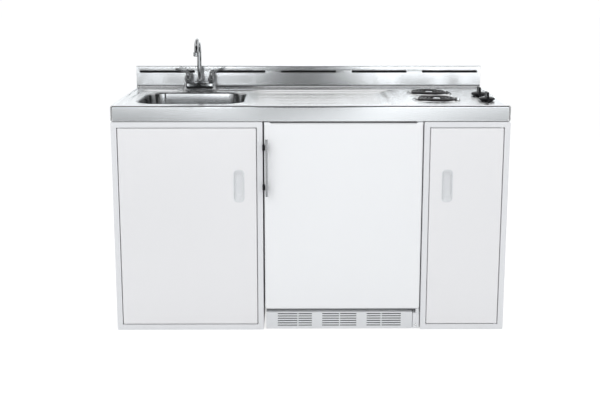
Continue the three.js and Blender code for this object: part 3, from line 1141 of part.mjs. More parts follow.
const dyke = { x0: fridgeDoor.x0 + DYKE_INSET_LEFT, x1: fridgeDoor.x1 - DYKE_INSET_RIGHT };
const linerFace = FRIDGE_DOOR_THICK + SEAT; // front of the door liner
const linerInner = linerFace + DOOR_LINER;
function fridgeDoorLiner() {
  const edge = 8;
  const sheet = ring(fridgeDoor.x0 + edge, fridgeDoor.x1 - edge, FRIDGE_DOOR_BOTTOM + edge,
    fridgeDoorTop - edge, 6, 3);
  const raised = (inset) => ring(dyke.x0 + inset, dyke.x1 - inset, DYKE_BOTTOM + inset,
    fridgeDoorTop - DYKE_DROP - inset, 18 - inset, 4);
  const frame = cut(loft([upright(raised(0), linerInner - 1), upright(raised(0.8), linerInner + DYKE_DEPTH)]),
    loft([upright(raised(DYKE_WALL), linerInner), upright(raised(DYKE_WALL), linerInner + DYKE_DEPTH + 1)]));
  return join(loft([upright(sheet, linerFace), upright(sheet, linerInner)]), frame);
}
add('fridge_door_liner', fridgeDoorLiner(), innerPlastic);

function gasket() {
  const lip = (inset) => ring(fridge.x0 + inset, fridge.x1 - inset, FRIDGE_FLOOR + inset, fridgeTop - inset, 8, 3);
  const [outer, inner] = [lip(GASKET_INSET), lip(GASKET_INSET + GASKET_WIDTH)];
  const [front, back] = [linerInner + SEAT, flangeFront - SEAT];
  return cut(loft([upright(outer, front), upright(outer, back)]),
    loft([upright(inner, front - 1), upright(inner, back + 1)]));
}
add('fridge_door_gasket', gasket(), greyRubber);

function doorBin(z) {
  const fit = DYKE_WALL + 0.8 + SEAT;
  const [x0, x1, y0, y1] = [dyke.x0 + fit, dyke.x1 - fit, linerInner + SEAT, linerInner + BIN_DEPTH];
  const level = (inset, height) => flat(ring(x0 + inset, x1 - inset, y0 + inset, y1 - inset, 10, 3), height);
  const outer = loft([level(2, z), level(0, z + 4), level(0, z + BIN_HEIGHT)]);
  const inner = loft([level(BIN_WALL + 2, z + BIN_WALL), level(BIN_WALL, z + BIN_WALL + 4),
    level(BIN_WALL, z + BIN_HEIGHT + 1)]);
  return cut(outer, inner);
}
add('fridge_door_bin_lower', doorBin(LOWER_BIN), innerPlastic);
add('fridge_door_bin_upper', doorBin(UPPER_BIN), innerPlastic);

const barX = fridgeDoor.x0 + BAR_FROM_EDGE;
const barY = -BAR_STANDOFF - SEAT - BAR_RADIUS;
function handleBar() {
  const [low, high] = [BAR_CENTRE_Z - BAR_LENGTH / 2, BAR_CENTRE_Z + BAR_LENGTH / 2];
  const profile = [[0, low], [BAR_RADIUS - 0.8, low], [BAR_RADIUS, low + 0.8], [BAR_RADIUS, high - 0.8],
    [BAR_RADIUS - 0.8, high], [0, high]];
  return turned(profile, barX, barY, 16);
}
add('fridge_handle_bar', handleBar(), chrome);

// A block stands on the door's face behind the bar and hooks round the door's edge.
function handleBlock(z) {
  const [low, high] = [z - BLOCK_HEIGHT / 2, z + BLOCK_HEIGHT / 2];
  const x0 = fridgeDoor.x0 - BLOCK_OVERHANG;
  const stand = prism([[x0, -SEAT], [x0, 4 - BAR_STANDOFF], [x0 + 4, -BAR_STANDOFF], [barX + 3, -BAR_STANDOFF],
    [barX + 3, -SEAT]], 'z', low, high);
  const hook = block(fridgeDoor.x0 - FRIDGE_GAP_LEFT + 1.2, fridgeDoor.x0 - SEAT, -SEAT - 2, 16, low, high);
  return join(stand, hook);
}
add('fridge_handle_block_upper', handleBlock(BAR_CENTRE_Z + BLOCK_SPACING / 2), blackPlastic);
add('fridge_handle_block_lower', handleBlock(BAR_CENTRE_Z - BLOCK_SPACING / 2), blackPlastic);

// The unit's own origin is on the floor under the middle of its box, which reaches from the
// handle bar to the wall.
unit.position.y = -(DEPTH + barY - BAR_RADIUS) / 2;

export default unit;
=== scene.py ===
from math import asin, cos, exp, pi, radians, sin

import bmesh
import bpy
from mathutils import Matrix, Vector
from mathutils.geometry import tessellate_polygon

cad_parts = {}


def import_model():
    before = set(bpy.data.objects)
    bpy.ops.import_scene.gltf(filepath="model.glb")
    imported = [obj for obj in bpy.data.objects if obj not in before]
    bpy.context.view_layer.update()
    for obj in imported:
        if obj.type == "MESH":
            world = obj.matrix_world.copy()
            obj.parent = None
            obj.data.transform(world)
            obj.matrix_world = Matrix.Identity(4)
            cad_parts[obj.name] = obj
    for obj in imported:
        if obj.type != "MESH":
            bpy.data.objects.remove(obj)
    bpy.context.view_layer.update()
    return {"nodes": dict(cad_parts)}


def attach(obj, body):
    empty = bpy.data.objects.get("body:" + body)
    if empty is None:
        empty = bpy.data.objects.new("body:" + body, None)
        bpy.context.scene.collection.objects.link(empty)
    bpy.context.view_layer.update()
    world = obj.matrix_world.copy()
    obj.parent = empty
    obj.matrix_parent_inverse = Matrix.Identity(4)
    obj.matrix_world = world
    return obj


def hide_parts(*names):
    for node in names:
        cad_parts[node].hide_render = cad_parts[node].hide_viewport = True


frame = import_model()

nodes = frame["nodes"]

# Sizes are written in millimetres as the part was drawn: y runs back from the apron's front.
MM = 0.001
Y_ORIGIN = 295.2

# ---- Shapes ----


def ring(u0, u1, v0, v1, radius, steps=10):
    """A rounded rectangle as (u, v) points; a radius of half its sides makes it a circle."""
    r = max(0.01, min(radius, (u1 - u0) / 2, (v1 - v0) / 2))
    corners = [(u1 - r, v1 - r), (u0 + r, v1 - r), (u0 + r, v0 + r), (u1 - r, v0 + r)]
    points = []
    for quarter, (u, v) in enumerate(corners):
        for i in range(steps + 1):
            angle = (quarter + i / steps) * pi / 2
            points.append((u + r * cos(angle), v + r * sin(angle)))
    return points


def around(u, v, half_u, half_v):
    """The area (u0, u1, v0, v1) round a point."""
    return u - half_u, u + half_u, v - half_v, v + half_v


def inset_ring(area, sides, ends, radius, steps=10):
    """The ring of an area drawn in at its sides and at its ends."""
    u0, u1, v0, v1 = area
    return ring(u0 + sides, u1 - sides, v0 + ends, v1 - ends, radius, steps)


def flat(points, z):
    return [(x, y, z) for x, y in points]


def upright(points, y):
    return [(x, y, z) for x, z in points]


def circle(x, y, radius, z, steps=12):
    return flat(ring(*around(x, y, radius, radius), radius, steps), z)


def arc(u, v, radius, start, end, steps):
    angles = [radians(start + (end - start) * i / steps) for i in range(steps + 1)]
    return [(u + radius * cos(a), v + radius * sin(a)) for a in angles]


def eased(t):
    """0 to 1 with a soft start and end, as pressed sheet bends."""
    return t * t * (3 - 2 * t)


def loft(rings, start=False, end=False, closed=False):
    """Quads between rings of equal length, with the first and last filled or joined."""
    rings = rings + [rings[0]] if closed else rings
    n = len(rings[0])
    faces = []
    for i in range(len(rings) - 1):
        for j in range(n):
            a, b = i * n + j, i * n + (j + 1) % n
            faces.append((a, b, b + n, a + n))
    last = (len(rings) - 1) * n
    if start:
        faces.append(tuple(range(n)))
    if end:
        faces.append(tuple(range(last, last + n)))
    return [p for r in rings for p in r], faces


def solid(rings):
    """A loft with both ends filled."""
    return loft(rings, start=True, end=True)


def sheet(rows):
    """Quads between open rows of points."""
    n = len(rows[0])
    faces = []
    for i in range(len(rows) - 1):
        for j in range(n - 1):
            a = i * n + j
            faces.append((a, a + 1, a + n + 1, a + n))
    return [p for r in rows for p in r], faces


def fill(*loops):
    """A flat face with holes: the first loop is its edge."""
    triangles = tessellate_polygon([[Vector(p) for p in loop] for loop in loops])
    return [p for loop in loops for p in loop], [tuple(t) for t in triangles]


def lathe(profile, x, y, segments):
    """(radius, height) points turned round an upright axis."""
    turn = [2 * pi * i / segments for i in range(segments)]
    return loft([[(x + r * cos(a), y + r * sin(a), z) for a in turn] for r, z in profile])


def rod(radius, start, end, sides=24):
    """A round bar between two points with softened ends."""
    chamfer = 0.3
    a, b = Vector(start), Vector(end)
    along = (b - a).normalized()
    points = [a, a + along * chamfer, b - along * chamfer, b]
    return tube([tuple(p) for p in points], [radius - chamfer, radius, radius, radius - chamfer], sides)


def tube(points, radii, sides):
    """A round tube along points, with one radius or a radius for each."""
    path = [Vector(p) for p in points]
    radii = radii if isinstance(radii, list) else [radii] * len(path)
    last = len(path) - 1
    along = [(path[min(i + 1, last)] - path[max(i - 1, 0)]).normalized() for i in range(last + 1)]
    side = Vector((0, 0, 1)).cross(along[0])
    if side.length < 0.1:
        side = Vector((1, 0, 0)).cross(along[0])
    angles = [2 * pi * (k + 0.5) / sides for k in range(sides)]
    rings = []
    for centre, direction, radius in zip(path, along, radii):
        side = (side - direction * side.dot(direction)).normalized()
        up = direction.cross(side)
        rings.append([tuple(centre + side * radius * cos(a) + up * radius * sin(a)) for a in angles])
    return solid(rings)


def block(x0, x1, y0, y1, z0, z1, edge=0.8):
    """A box with chamfered upright and level edges."""
    e = min(edge, (x1 - x0) / 3, (y1 - y0) / 3, (z1 - z0) / 3)
    levels = [(e, z0), (0, z0 + e), (0, z1 - e), (e, z1)]
    return solid([flat(inset_ring((x0, x1, y0, y1), inset, inset, e, 2), z) for inset, z in levels])


def slat(x0, x1, front, back, thick):
    """A leaning strip between two (y, z) lines, with its thickness as (y, z)."""
    dy, dz = thick
    return solid([[(x0, y, z), (x1, y, z), (x1, y + dy, z + dz), (x0, y + dy, z + dz)]
                  for y, z in (front, back)])


def serpentine(left, right, y, low, pitch, runs):
    """Level runs joined by half turns, from the lowest up."""
    path = []
    for i in range(runs):
        z = low + i * pitch
        a, b, turn = (left, right, 1) if i % 2 == 0 else (right, left, -1)
        path += [(a, y, z), (b, y, z)]
        if i < runs - 1:
            bend = arc(0, z + pitch / 2, pitch / 2, -90, 90, 12)[1:-1]
            path += [(b + turn * u, y, w) for u, w in bend]
    return path


def panel_rings(x0, x1, z0, z1, front, back, radius, edge, steps=8):
    """Rings of an upright panel from its back to the inner end of its rounded front edge."""
    corner = max(radius, edge)
    outline = lambda inset, y: upright(inset_ring((x0, x1, z0, z1), inset, inset, corner - inset, steps), y)
    angles = [pi / 2 * i / 6 for i in range(7)]
    return [outline(0, back)] + [outline(edge - edge * cos(a), front + edge - edge * sin(a)) for a in angles]


def only(part, keep):
    """A part's faces whose middle passes a test."""
    verts, faces = part
    middle = lambda f: [sum(verts[i][k] for i in f) / len(f) for k in range(3)]
    return verts, [f for f in faces if keep(*middle(f))]


def piece(name, parts, material, body, replaces=(), smooth=35, soft=0, thick=0, cut_back=None):
    """One object from its parts, riding on a body and standing for CAD nodes."""
    bm = bmesh.new()
    for verts, faces in parts:
        made = [bm.verts.new((x * MM, (y - Y_ORIGIN) * MM, z * MM)) for x, y, z in verts]
        for face in faces:
            bm.faces.new([made[i] for i in face])
        bmesh.ops.remove_doubles(bm, verts=made, dist=2e-6)
    if cut_back is not None:
        everything = bm.verts[:] + bm.edges[:] + bm.faces[:]
        bmesh.ops.bisect_plane(bm, geom=everything, plane_co=(0, (cut_back - Y_ORIGIN) * MM, 0),
                               plane_no=(0, 1, 0), clear_outer=True)
    bmesh.ops.dissolve_degenerate(bm, edges=bm.edges[:], dist=1e-7)
    bmesh.ops.recalc_face_normals(bm, faces=bm.faces[:])
    mesh = bpy.data.meshes.new(name)
    bm.to_mesh(mesh)
    bm.free()
    mesh.polygons.foreach_set("use_smooth", [True] * len(mesh.polygons))
    mesh.set_sharp_from_angle(angle=radians(smooth))
    mesh.materials.append(material)
    obj = bpy.data.objects.new(name, mesh)
    bpy.context.scene.collection.objects.link(obj)
    if thick:
        wall = obj.modifiers.new("sheet", "SOLIDIFY")
        wall.thickness = thick * MM
        wall.offset = 0
    if soft:
        edges = obj.modifiers.new("edges", "BEVEL")
        edges.width = soft * MM
        edges.segments = 2
        edges.limit_method = "ANGLE"
        edges.angle_limit = radians(40)
    weighted = obj.modifiers.new("normals", "WEIGHTED_NORMAL")
    weighted.keep_sharp = True
    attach(obj, body)
    if replaces:
        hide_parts(*([replaces] if isinstance(replaces, str) else replaces))
    return obj


# ---- Materials ----


def new_material(name):
    mat = bpy.data.materials.new(name)
    mat.use_nodes = True
    tree = mat.node_tree
    return mat, tree, tree.nodes["Principled BSDF"]


def plug(tree, node, inputs):
    """Give each input of a node its value, or link it to a socket."""
    for key, value in inputs.items():
        if isinstance(value, bpy.types.NodeSocket):
            tree.links.new(value, node.inputs[key])
        else:
            node.inputs[key].default_value = value
    return node


def add(tree, kind, inputs=()):
    return plug(tree, tree.nodes.new("ShaderNode" + kind), dict(inputs))


def noise(tree, scale, detail=3.0, stretch=(1, 1, 1)):
    place = add(tree, "TexCoord").outputs["Object"]
    mapping = add(tree, "Mapping", {"Vector": place, "Scale": stretch})
    texture = add(tree, "TexNoise", {"Vector": mapping.outputs["Vector"], "Scale": scale, "Detail": detail})
    return texture.outputs["Fac"]


def ramp(tree, value, dark, light):
    node = add(tree, "ValToRGB", {"Fac": value})
    for stop, position, colour in zip(node.color_ramp.elements, (0.2, 0.8), (dark, light)):
        stop.position = position
        stop.color = (*colour, 1)
    return node.outputs["Color"]


def span(tree, value, low, high):
    limits = {"From Min": 0.2, "From Max": 0.8, "To Min": low, "To Max": high}
    return add(tree, "MapRange", {"Value": value, **limits}).outputs["Result"]


def bump(tree, value, strength, distance):
    node = add(tree, "Bump", {"Height": value, "Strength": strength, "Distance": distance})
    return node.outputs["Normal"]


def surface(name, dark, light, rough, metallic=0.0, patch=4.0, grain=400.0, stretch=(1, 1, 1), relief=0.1,
            depth=0.0002, specular=0.5, brushing=0.0):
    """Soft patches of colour and roughness, and a fine grain in the relief."""
    mat, tree, shader = new_material(name)
    patches = noise(tree, patch, 2)
    fine = noise(tree, grain, 3, stretch)
    plug(tree, shader, {"Metallic": metallic, "Specular IOR Level": specular,
                        "Base Color": ramp(tree, patches, dark, light),
                        "Roughness": span(tree, fine if metallic else patches, *rough),
                        "Normal": bump(tree, fine, relief, depth)})
    if brushing:
        across = add(tree, "Tangent")
        across.direction_type = "RADIAL"
        across.axis = "X"
        plug(tree, shader, {"Tangent": across.outputs["Tangent"], "Anisotropic": brushing})
    return mat


# What the finishes of a kind share.
METAL = dict(metallic=1.0, depth=0.0001)
BRUSHED = dict(METAL, patch=3, grain=90, stretch=(0.12, 30, 30))
DRAWN = dict(METAL, patch=8, grain=200, stretch=(6, 6, 0.5))
PLATED = dict(METAL, patch=12, grain=60, relief=0.02)
DOORS = dict(patch=1.2, grain=900, relief=0.04)

brushed = surface("brushed_steel", (0.80, 0.808, 0.816), (0.83, 0.838, 0.845), (0.19, 0.24),
                  relief=0.03, brushing=0.7, **BRUSHED)
splash_steel = surface("splash_steel", (0.80, 0.808, 0.816), (0.83, 0.838, 0.845), (0.23, 0.28),
                       relief=0.02, brushing=0.75, **BRUSHED)
# The bowl's steel is darker than the worktop's: painted shade in the recessed bowl.
bowl_steel_painted_shade = surface("bowl_steel_painted_shade", (0.42, 0.425, 0.43), (0.48, 0.485, 0.49), (0.12, 0.17),
                     patch=6, grain=90, stretch=(1, 1, 6), relief=0.02, **METAL)
chrome = surface("chrome", (0.44, 0.45, 0.46), (0.50, 0.51, 0.52), (0.03, 0.07), **PLATED)
# A darker copy of the chrome for the levers: painted shade standing for their dark reflections.
lever_chrome_painted_shade = surface("lever_chrome_painted_shade", (0.26, 0.265, 0.27), (0.32, 0.325, 0.33), (0.03, 0.07), **PLATED)
bright_chrome = surface("bright_chrome", (0.74, 0.75, 0.76), (0.80, 0.81, 0.82), (0.04, 0.09), **PLATED)
satin_steel = surface("satin_steel", (0.78, 0.79, 0.80), (0.84, 0.85, 0.86), (0.14, 0.24),
                      relief=0.08, **DRAWN)
# A darker copy of the satin steel for the handle bar: painted shade standing for its dark reflections.
bar_steel_painted_shade = surface("bar_steel_painted_shade", (0.50, 0.51, 0.52), (0.57, 0.58, 0.59), (0.08, 0.14), relief=0.05, **DRAWN)
enamel = surface("white_enamel", (0.815, 0.82, 0.83), (0.835, 0.84, 0.85), (0.30, 0.38),
                 patch=2.2, grain=700, relief=0.05)
door_enamel = surface("door_enamel", (0.88, 0.874, 0.878), (0.888, 0.882, 0.886), (0.29, 0.31), **DOORS)
fridge_enamel = surface("fridge_enamel", (0.932, 0.937, 0.942), (0.94, 0.945, 0.95), (0.27, 0.29), **DOORS)
white_plastic = surface("white_plastic", (0.76, 0.77, 0.78), (0.80, 0.81, 0.82), (0.36, 0.46),
                        patch=9, grain=1200, relief=0.08, depth=0.0001)
inner_plastic = surface("inner_plastic", (0.80, 0.81, 0.82), (0.84, 0.85, 0.86), (0.22, 0.3),
                        patch=5, grain=500, relief=0.05)
black_gloss = surface("black_gloss", (0.006, 0.006, 0.007), (0.014, 0.014, 0.016), (0.16, 0.28),
                      patch=30, grain=900, relief=0.05, depth=0.0001, specular=0.25)
element_black = surface("element_black", (0.006, 0.006, 0.007), (0.014, 0.014, 0.013), (0.24, 0.36),
                        patch=60, grain=1500, relief=0.15, depth=0.0001, specular=0.16)
# Real black paint on the compressor and condenser; on the sheets behind the openings and in the screw's slot
# it is painted shade.
black_paint = surface("black_paint", (0.012, 0.012, 0.013), (0.025, 0.025, 0.027), (0.3, 0.45),
                      patch=12, grain=600, relief=0.15, depth=0.0003, specular=0.3)
# The grille's slats are real, but their dark grey is painted shade for the shaded slots.
slat_grey_painted_shade = surface("slat_grey_painted_shade", (0.13, 0.133, 0.138), (0.17, 0.173, 0.178), (0.4, 0.5),
                    patch=10, grain=900, relief=0.08, depth=0.0001)
ceramic = surface("ceramic", (0.62, 0.57, 0.48), (0.72, 0.68, 0.60), (0.6, 0.8),
                  patch=40, grain=1200, relief=0.3, depth=0.0003)
rubber = surface("gasket_rubber", (0.52, 0.53, 0.54), (0.60, 0.61, 0.62), (0.55, 0.7),
                 patch=20, grain=900, relief=0.2, depth=0.0003)
aluminium = surface("evaporator_sheet", (0.56, 0.57, 0.58), (0.66, 0.67, 0.68), (0.35, 0.5),
                    metallic=0.9, patch=14, grain=300, relief=0.15, depth=0.0003)


def zinc_material():
    """Galvanised sheet: pale crystals of slightly different grey."""
    mat, tree, shader = new_material("galvanised")
    place = add(tree, "TexCoord").outputs["Object"]
    crystals = add(tree, "TexVoronoi", {"Vector": place, "Scale": 140})
    grey = add(tree, "RGBToBW", {"Color": crystals.outputs["Color"]}).outputs["Val"]
    plug(tree, shader, {"Metallic": 0.85,
                        "Base Color": ramp(tree, grey, (0.42, 0.44, 0.46), (0.60, 0.61, 0.62)),
                        "Roughness": span(tree, grey, 0.35, 0.6),
                        "Normal": bump(tree, noise(tree, 500), 0.1, 0.0002)})
    return mat


def glass_material():
    """Toughened shelf glass, faintly green, with a slight waviness."""
    mat, tree, shader = new_material("shelf_glass")
    plug(tree, shader, {"Transmission Weight": 0.9, "IOR": 1.5,
                        "Base Color": ramp(tree, noise(tree, 3), (0.86, 0.93, 0.91), (0.92, 0.96, 0.95)),
                        "Roughness": span(tree, noise(tree, 12), 0.03, 0.08),
                        "Normal": bump(tree, noise(tree, 20), 0.03, 0.0003)})
    return mat


galvanised = zinc_material()
glass = glass_material()

# ---- Sizes shared by several pieces ----

LEFT, RIGHT, DEPTH = -762.0, 762.0, 622.0
# Heights of the rim, the deck, the wet area, the drainer and the apron's lower edge.
TOP, DECK, WET, DRAINER, APRON_FOOT = 895.0, 892.5, 888.5, 884.0, 835.0
# The rounding of the apron's upper edge, the sheet's thickness and the gap between pieces.
NOSE, SHEET, GAP = 8.0, 2.0, 0.3
# The height of what is screwed on under the deck.
UNDER = DECK - SHEET - GAP
# The backsplash's face and its top.
SPLASH, SPLASH_TOP = 600.0, 988.0
# The bowl's mouth, its corners, how far its walls lean in and the rounding at their foot.
BOWL, BOWL_CORNER, BOWL_LEAN, BOWL_FOOT = (-688.0, -260.0, 94.0, 454.0), 84, 16.0, 36.0
BOWL_FLOOR, DRAIN_FLOOR = 738.5, 734.5
SINK_X, DRAIN_Y = -474.0, 274.0
WET_AREA = (-720.0, 349.0, 34.0, 500.0)
DRAINER_AREA = (-243.0, 306.0, 125.0, 471.0)
TAP_X, TAP_Y = -476.0, 534.0
HOB_X = 505.0
HOB_Y = {"front": 180.0, "rear": 391.0}
PAN_HOLE = 91.6
KNOB_X = 698.0
KNOB_Y = {"front": 144.0, "rear": 303.0}

# ---- Worktop ----

RIBS, RIB_PITCH, RIB_HALF, RIB_END, RIB_HEIGHT = 7, 46, 5, 22, 1.9
VENTS, VENT_PITCH, VENT_LENGTH, VENT_END = 5, 312.75, 245, 14
VENT_LOW, VENT_HIGH = 957.5, 968.5
# The slats behind the vent slots are painted black as shade in the openings.
LOUVRES, LOUVRE_LOW, LOUVRE_PITCH = 6, 948, 4


def pressed(floor_area, floor, drop, radius, slopes):
    """Rings of a pressed recess from its floor up to the sheet around it."""
    x0, x1, y0, y1 = floor_area
    left, right, front, back = slopes
    rings = []
    for t in [i / 8 for i in range(9)]:
        outline = ring(x0 - left * t, x1 + right * t, y0 - front * t, y1 + back * t, radius, 8)
        rings.append(flat(outline, floor + drop * eased(t)))
    return rings


def bowl_ring(inset, z):
    return flat(inset_ring(BOWL, inset, inset, max(BOWL_CORNER - inset, 36), 14), z)


def worktop():
    # The outline runs past the back, where the sheet is cut off; a hem runs under the apron.
    past, hem = 60, 16
    outline = lambda inset, z: flat(ring(LEFT + inset, RIGHT - inset, inset, DEPTH + past, 10 - inset, 8), z)
    edge = [outline(hem, APRON_FOOT), outline(2, APRON_FOOT), outline(0.6, APRON_FOOT + 0.6),
            outline(0, APRON_FOOT + 2)]
    edge += [outline(NOSE - out, z) for out, z in arc(0, TOP - NOSE, NOSE, 0, 90, 10)]
    edge += [outline(9 + i, TOP - (TOP - DECK) * eased(i / 6)) for i in range(7)]
    wet = pressed(WET_AREA, WET, DECK - WET, 34, (8, 34, 8, 8))
    drain = pressed(DRAINER_AREA, DRAINER, WET - DRAINER, 12, (7.5, 26, 7.5, 7.5))
    pans = [circle(HOB_X, y, PAN_HOLE, DECK) for y in HOB_Y.values()]
    parts = [
        loft(edge),
        fill(edge[-1], wet[-1], *pans),
        loft(wet),
        fill(wet[0], bowl_ring(-4, WET), drain[-1]),
        loft(drain),
        fill(drain[0]),
    ]
    a, b, y = LEFT + 2, RIGHT - 2, DEPTH - 1
    parts.append(([(a, y, APRON_FOOT), (b, y, APRON_FOOT), (b, y, DECK), (a, y, DECK)], [(0, 1, 2, 3)]))
    x0, x1, y0, y1 = DRAINER_AREA
    for i in range(RIBS):
        middle = (y0 + y1) / 2 + (i - (RIBS - 1) / 2) * RIB_PITCH
        area = (x0 + RIB_END, x1 - RIB_END, middle - RIB_HALF, middle + RIB_HALF)
        rib = [flat(inset_ring(area, RIB_HALF * t, RIB_HALF * t, 6, 4), DRAINER - 0.1 + RIB_HEIGHT * eased(t))
               for t in [k / 6 for k in range(6)]]
        parts.append(loft(rib, end=True))
    piece("worktop_sheet", parts, brushed, "unit", "worktop", smooth=50, thick=1.2,
          cut_back=DEPTH)


worktop()


def backsplash():
    foot = DECK + GAP
    cove = arc(SPLASH - 11, foot + 12, 11, -90, 0, 8)
    fold = arc(SPLASH + 3, SPLASH_TOP - 3, 3, 180, 90, 6)
    strip = lambda line: sheet([[(LEFT, y, z), (RIGHT, y, z)] for y, z in line])
    side = [(SPLASH - 11, foot)] + cove + fold + [(DEPTH, SPLASH_TOP), (DEPTH, foot)]
    starts = [LEFT + VENT_END + i * VENT_PITCH for i in range(VENTS)]
    slots = [ring(x, x + VENT_LENGTH, VENT_LOW, VENT_HIGH, 5.5, 8) for x in starts]
    low, high = cove[-1][1], fold[0][1]
    face = upright([(LEFT, low), (RIGHT, low), (RIGHT, high), (LEFT, high)], SPLASH)
    parts = [strip([(SPLASH - 11, foot)] + cove),
             strip(fold + [(DEPTH, SPLASH_TOP), (DEPTH, SPLASH_TOP - 14)]),
             fill(face, *[upright(s, SPLASH) for s in slots])]
    parts += [loft([upright(s, SPLASH), upright(s, SPLASH + 2)]) for s in slots]
    parts += [fill([(x, y, z) for y, z in side]) for x in (LEFT, RIGHT)]
    piece("backsplash_sheet", parts, splash_steel, "unit", "backsplash", smooth=50, thick=1)
    # Black slats behind the vent slots: painted shade inside the openings.
    slats = [slat(LEFT + 4, RIGHT - 4, (SPLASH + 3, z), (SPLASH + 14, z + 9), (0, 0.8))
             for z in [LOUVRE_LOW + LOUVRE_PITCH * i for i in range(LOUVRES)]]
    piece("vent_louvres_painted_shade", slats, black_paint, "unit")


backsplash()

# ---- Sink ----


def sink():
    level = lambda radius, z: circle(SINK_X, DRAIN_Y, radius, z, 14)
    turned = lambda profile, segments: lathe(profile, SINK_X, DRAIN_Y, segments)
    bend = (BOWL_LEAN + BOWL_FOOT, BOWL_FLOOR + BOWL_FOOT)
    inner = [bowl_ring(-4, WET)] + [bowl_ring(i, z) for i, z in arc(0, WET - 6, 6, 90, 0, 6)]
    inner += [bowl_ring(i, z) for i, z in arc(*bend, BOWL_FOOT, 180, 270, 12)]
    slope, seat, hole = 90, 60, 43
    inner += [level(slope, BOWL_FLOOR - 2), level(seat, DRAIN_FLOOR), level(hole, DRAIN_FLOOR)]
    outer = [level(hole, DRAIN_FLOOR - SHEET), level(seat, DRAIN_FLOOR - SHEET)]
    outer += [bowl_ring(i, z) for i, z in arc(*bend, BOWL_FOOT + SHEET, 270, 180, 8)]
    outer += [bowl_ring(4, WET - 6), bowl_ring(-4, WET - 3), bowl_ring(-4, WET - 2)]
    piece("sink_bowl_skin", [loft(inner + outer, closed=True)], bowl_steel_painted_shade, "unit", "sink_bowl",
          smooth=50)
    base, cup = DRAIN_FLOOR, DRAIN_FLOOR - 36
    body = [(56, base + GAP), (56, base + 1), (55, base + 1.6), (43, base + 2.2),
            (41, base + 1.6), (40, base - 2), (38, cup + 3), (34, cup), (17, cup - 4),
            (17, cup - 26), (19, cup - 26), (19, cup - 6), (36, cup - 2), (41, cup + 4),
            (42, base - 4), (42, base + GAP), (56, base + GAP)]
    piece("strainer_body_skin", [turned(body, 64)], chrome, "unit", "sink_strainer_body")
    floor = cup + 6
    wall = [(0, floor + 1.5), (8, floor + 1.5), (13, floor + 1.5), (18, floor + 1.5), (23, floor + 1.5),
            (30, floor + 1.5), (33, floor + 5), (34, floor + 10), (35, floor + 16), (36, floor + 21),
            (37, base - 3.2), (39.5, base - 3)]
    # Every third face of these rows is left open as a hole.
    holed_rows, count = {2, 4, 6, 8}, 48
    verts, faces = turned(wall, count)
    kept = [f for k, f in enumerate(faces) if not (k // count in holed_rows and k % count % 3 == 0)]
    knob = turned([(0, floor + 1), (4, floor + 1), (2.6, floor + 4), (2.4, floor + 9), (4, floor + 12),
                   (7, floor + 15), (7, floor + 17), (5, floor + 19.5), (0, floor + 20)], 24)
    basket = piece("strainer_basket_skin", [(verts, kept), knob], chrome, "strainer_basket",
                   "sink_strainer_basket")
    basket.modifiers.new("sheet", "SOLIDIFY").thickness = 0.7 * MM
    top = base - SHEET - GAP
    nut = [(42.3, top), (54, top), (54, top - 3), (48, top - 4), (47, top - 9), (42.3, top - 9), (42.3, top)]
    piece("strainer_nut_skin", [turned(nut, 40)], white_plastic, "unit", "sink_strainer_locknut")
    end = cup - 26
    pipe = [(19.6, end + 12), (26.3, end + 12), (26.6, end + 10), (26.6, end - 5), (24, end - 7),
            (19, end - 8), (19, end - 100), (17.5, end - 100), (17.5, end - 1), (19.6, end - 1),
            (19.6, end + 12)]
    piece("tailpiece_skin", [turned(pipe, 40)], chrome, "unit", "sink_tailpiece")


sink()

# ---- Tap ----

BASE_Z = DECK + GAP
BASE_TOP = BASE_Z + 29
TAP_FOOT = BASE_TOP + GAP
VALVE_REACH = 51
VALVES = {"hot": (TAP_X - VALVE_REACH, -1), "cold": (TAP_X + VALVE_REACH, 1)}
SPOUT_BOW = 57.5
SPOUT_RADIUS = 9.5


def tap_base():
    # How far the base's sides stand in at each height.
    taper = [(0, 0), (0, 1.6), (0.8, 2.6), (2.4, 3.6), (5, 7), (7, 12), (8, 18), (8.4, 25), (9, 27.6),
             (10.5, 28.8), (13, 29)]
    plan = around(TAP_X, TAP_Y, 76, 25)
    parts = [solid([flat(inset_ring(plan, inset, inset, 25, 12), BASE_Z + z) for inset, z in taper])]
    cap = [(0, BASE_TOP - 1), (15, BASE_TOP - 1), (14.6, BASE_TOP + 0.1), (0, BASE_TOP + 0.2)]
    shank = [(0, DECK - 48), (9, DECK - 48), (10, DECK - 47), (10, BASE_Z + 3), (0, BASE_Z + 3)]
    for x, _ in VALVES.values():
        parts += [lathe(cap, x, TAP_Y, 32), lathe(shank, x, TAP_Y, 24)]
    piece("tap_base_casting", parts, chrome, "unit", "tap_base", smooth=40)
    nut = [(10.3, UNDER), (23, UNDER), (23, UNDER - 2), (19, UNDER - 3), (19, UNDER - 13),
           (10.3, UNDER - 13), (10.3, UNDER)]
    for side, (x, _) in zip(("left", "right"), VALVES.values()):
        piece(f"tap_nut_{side}", [lathe(nut, x, TAP_Y, 6)], galvanised, "unit",
              f"tap_fixing_nut_{side}", smooth=20, soft=0.5)


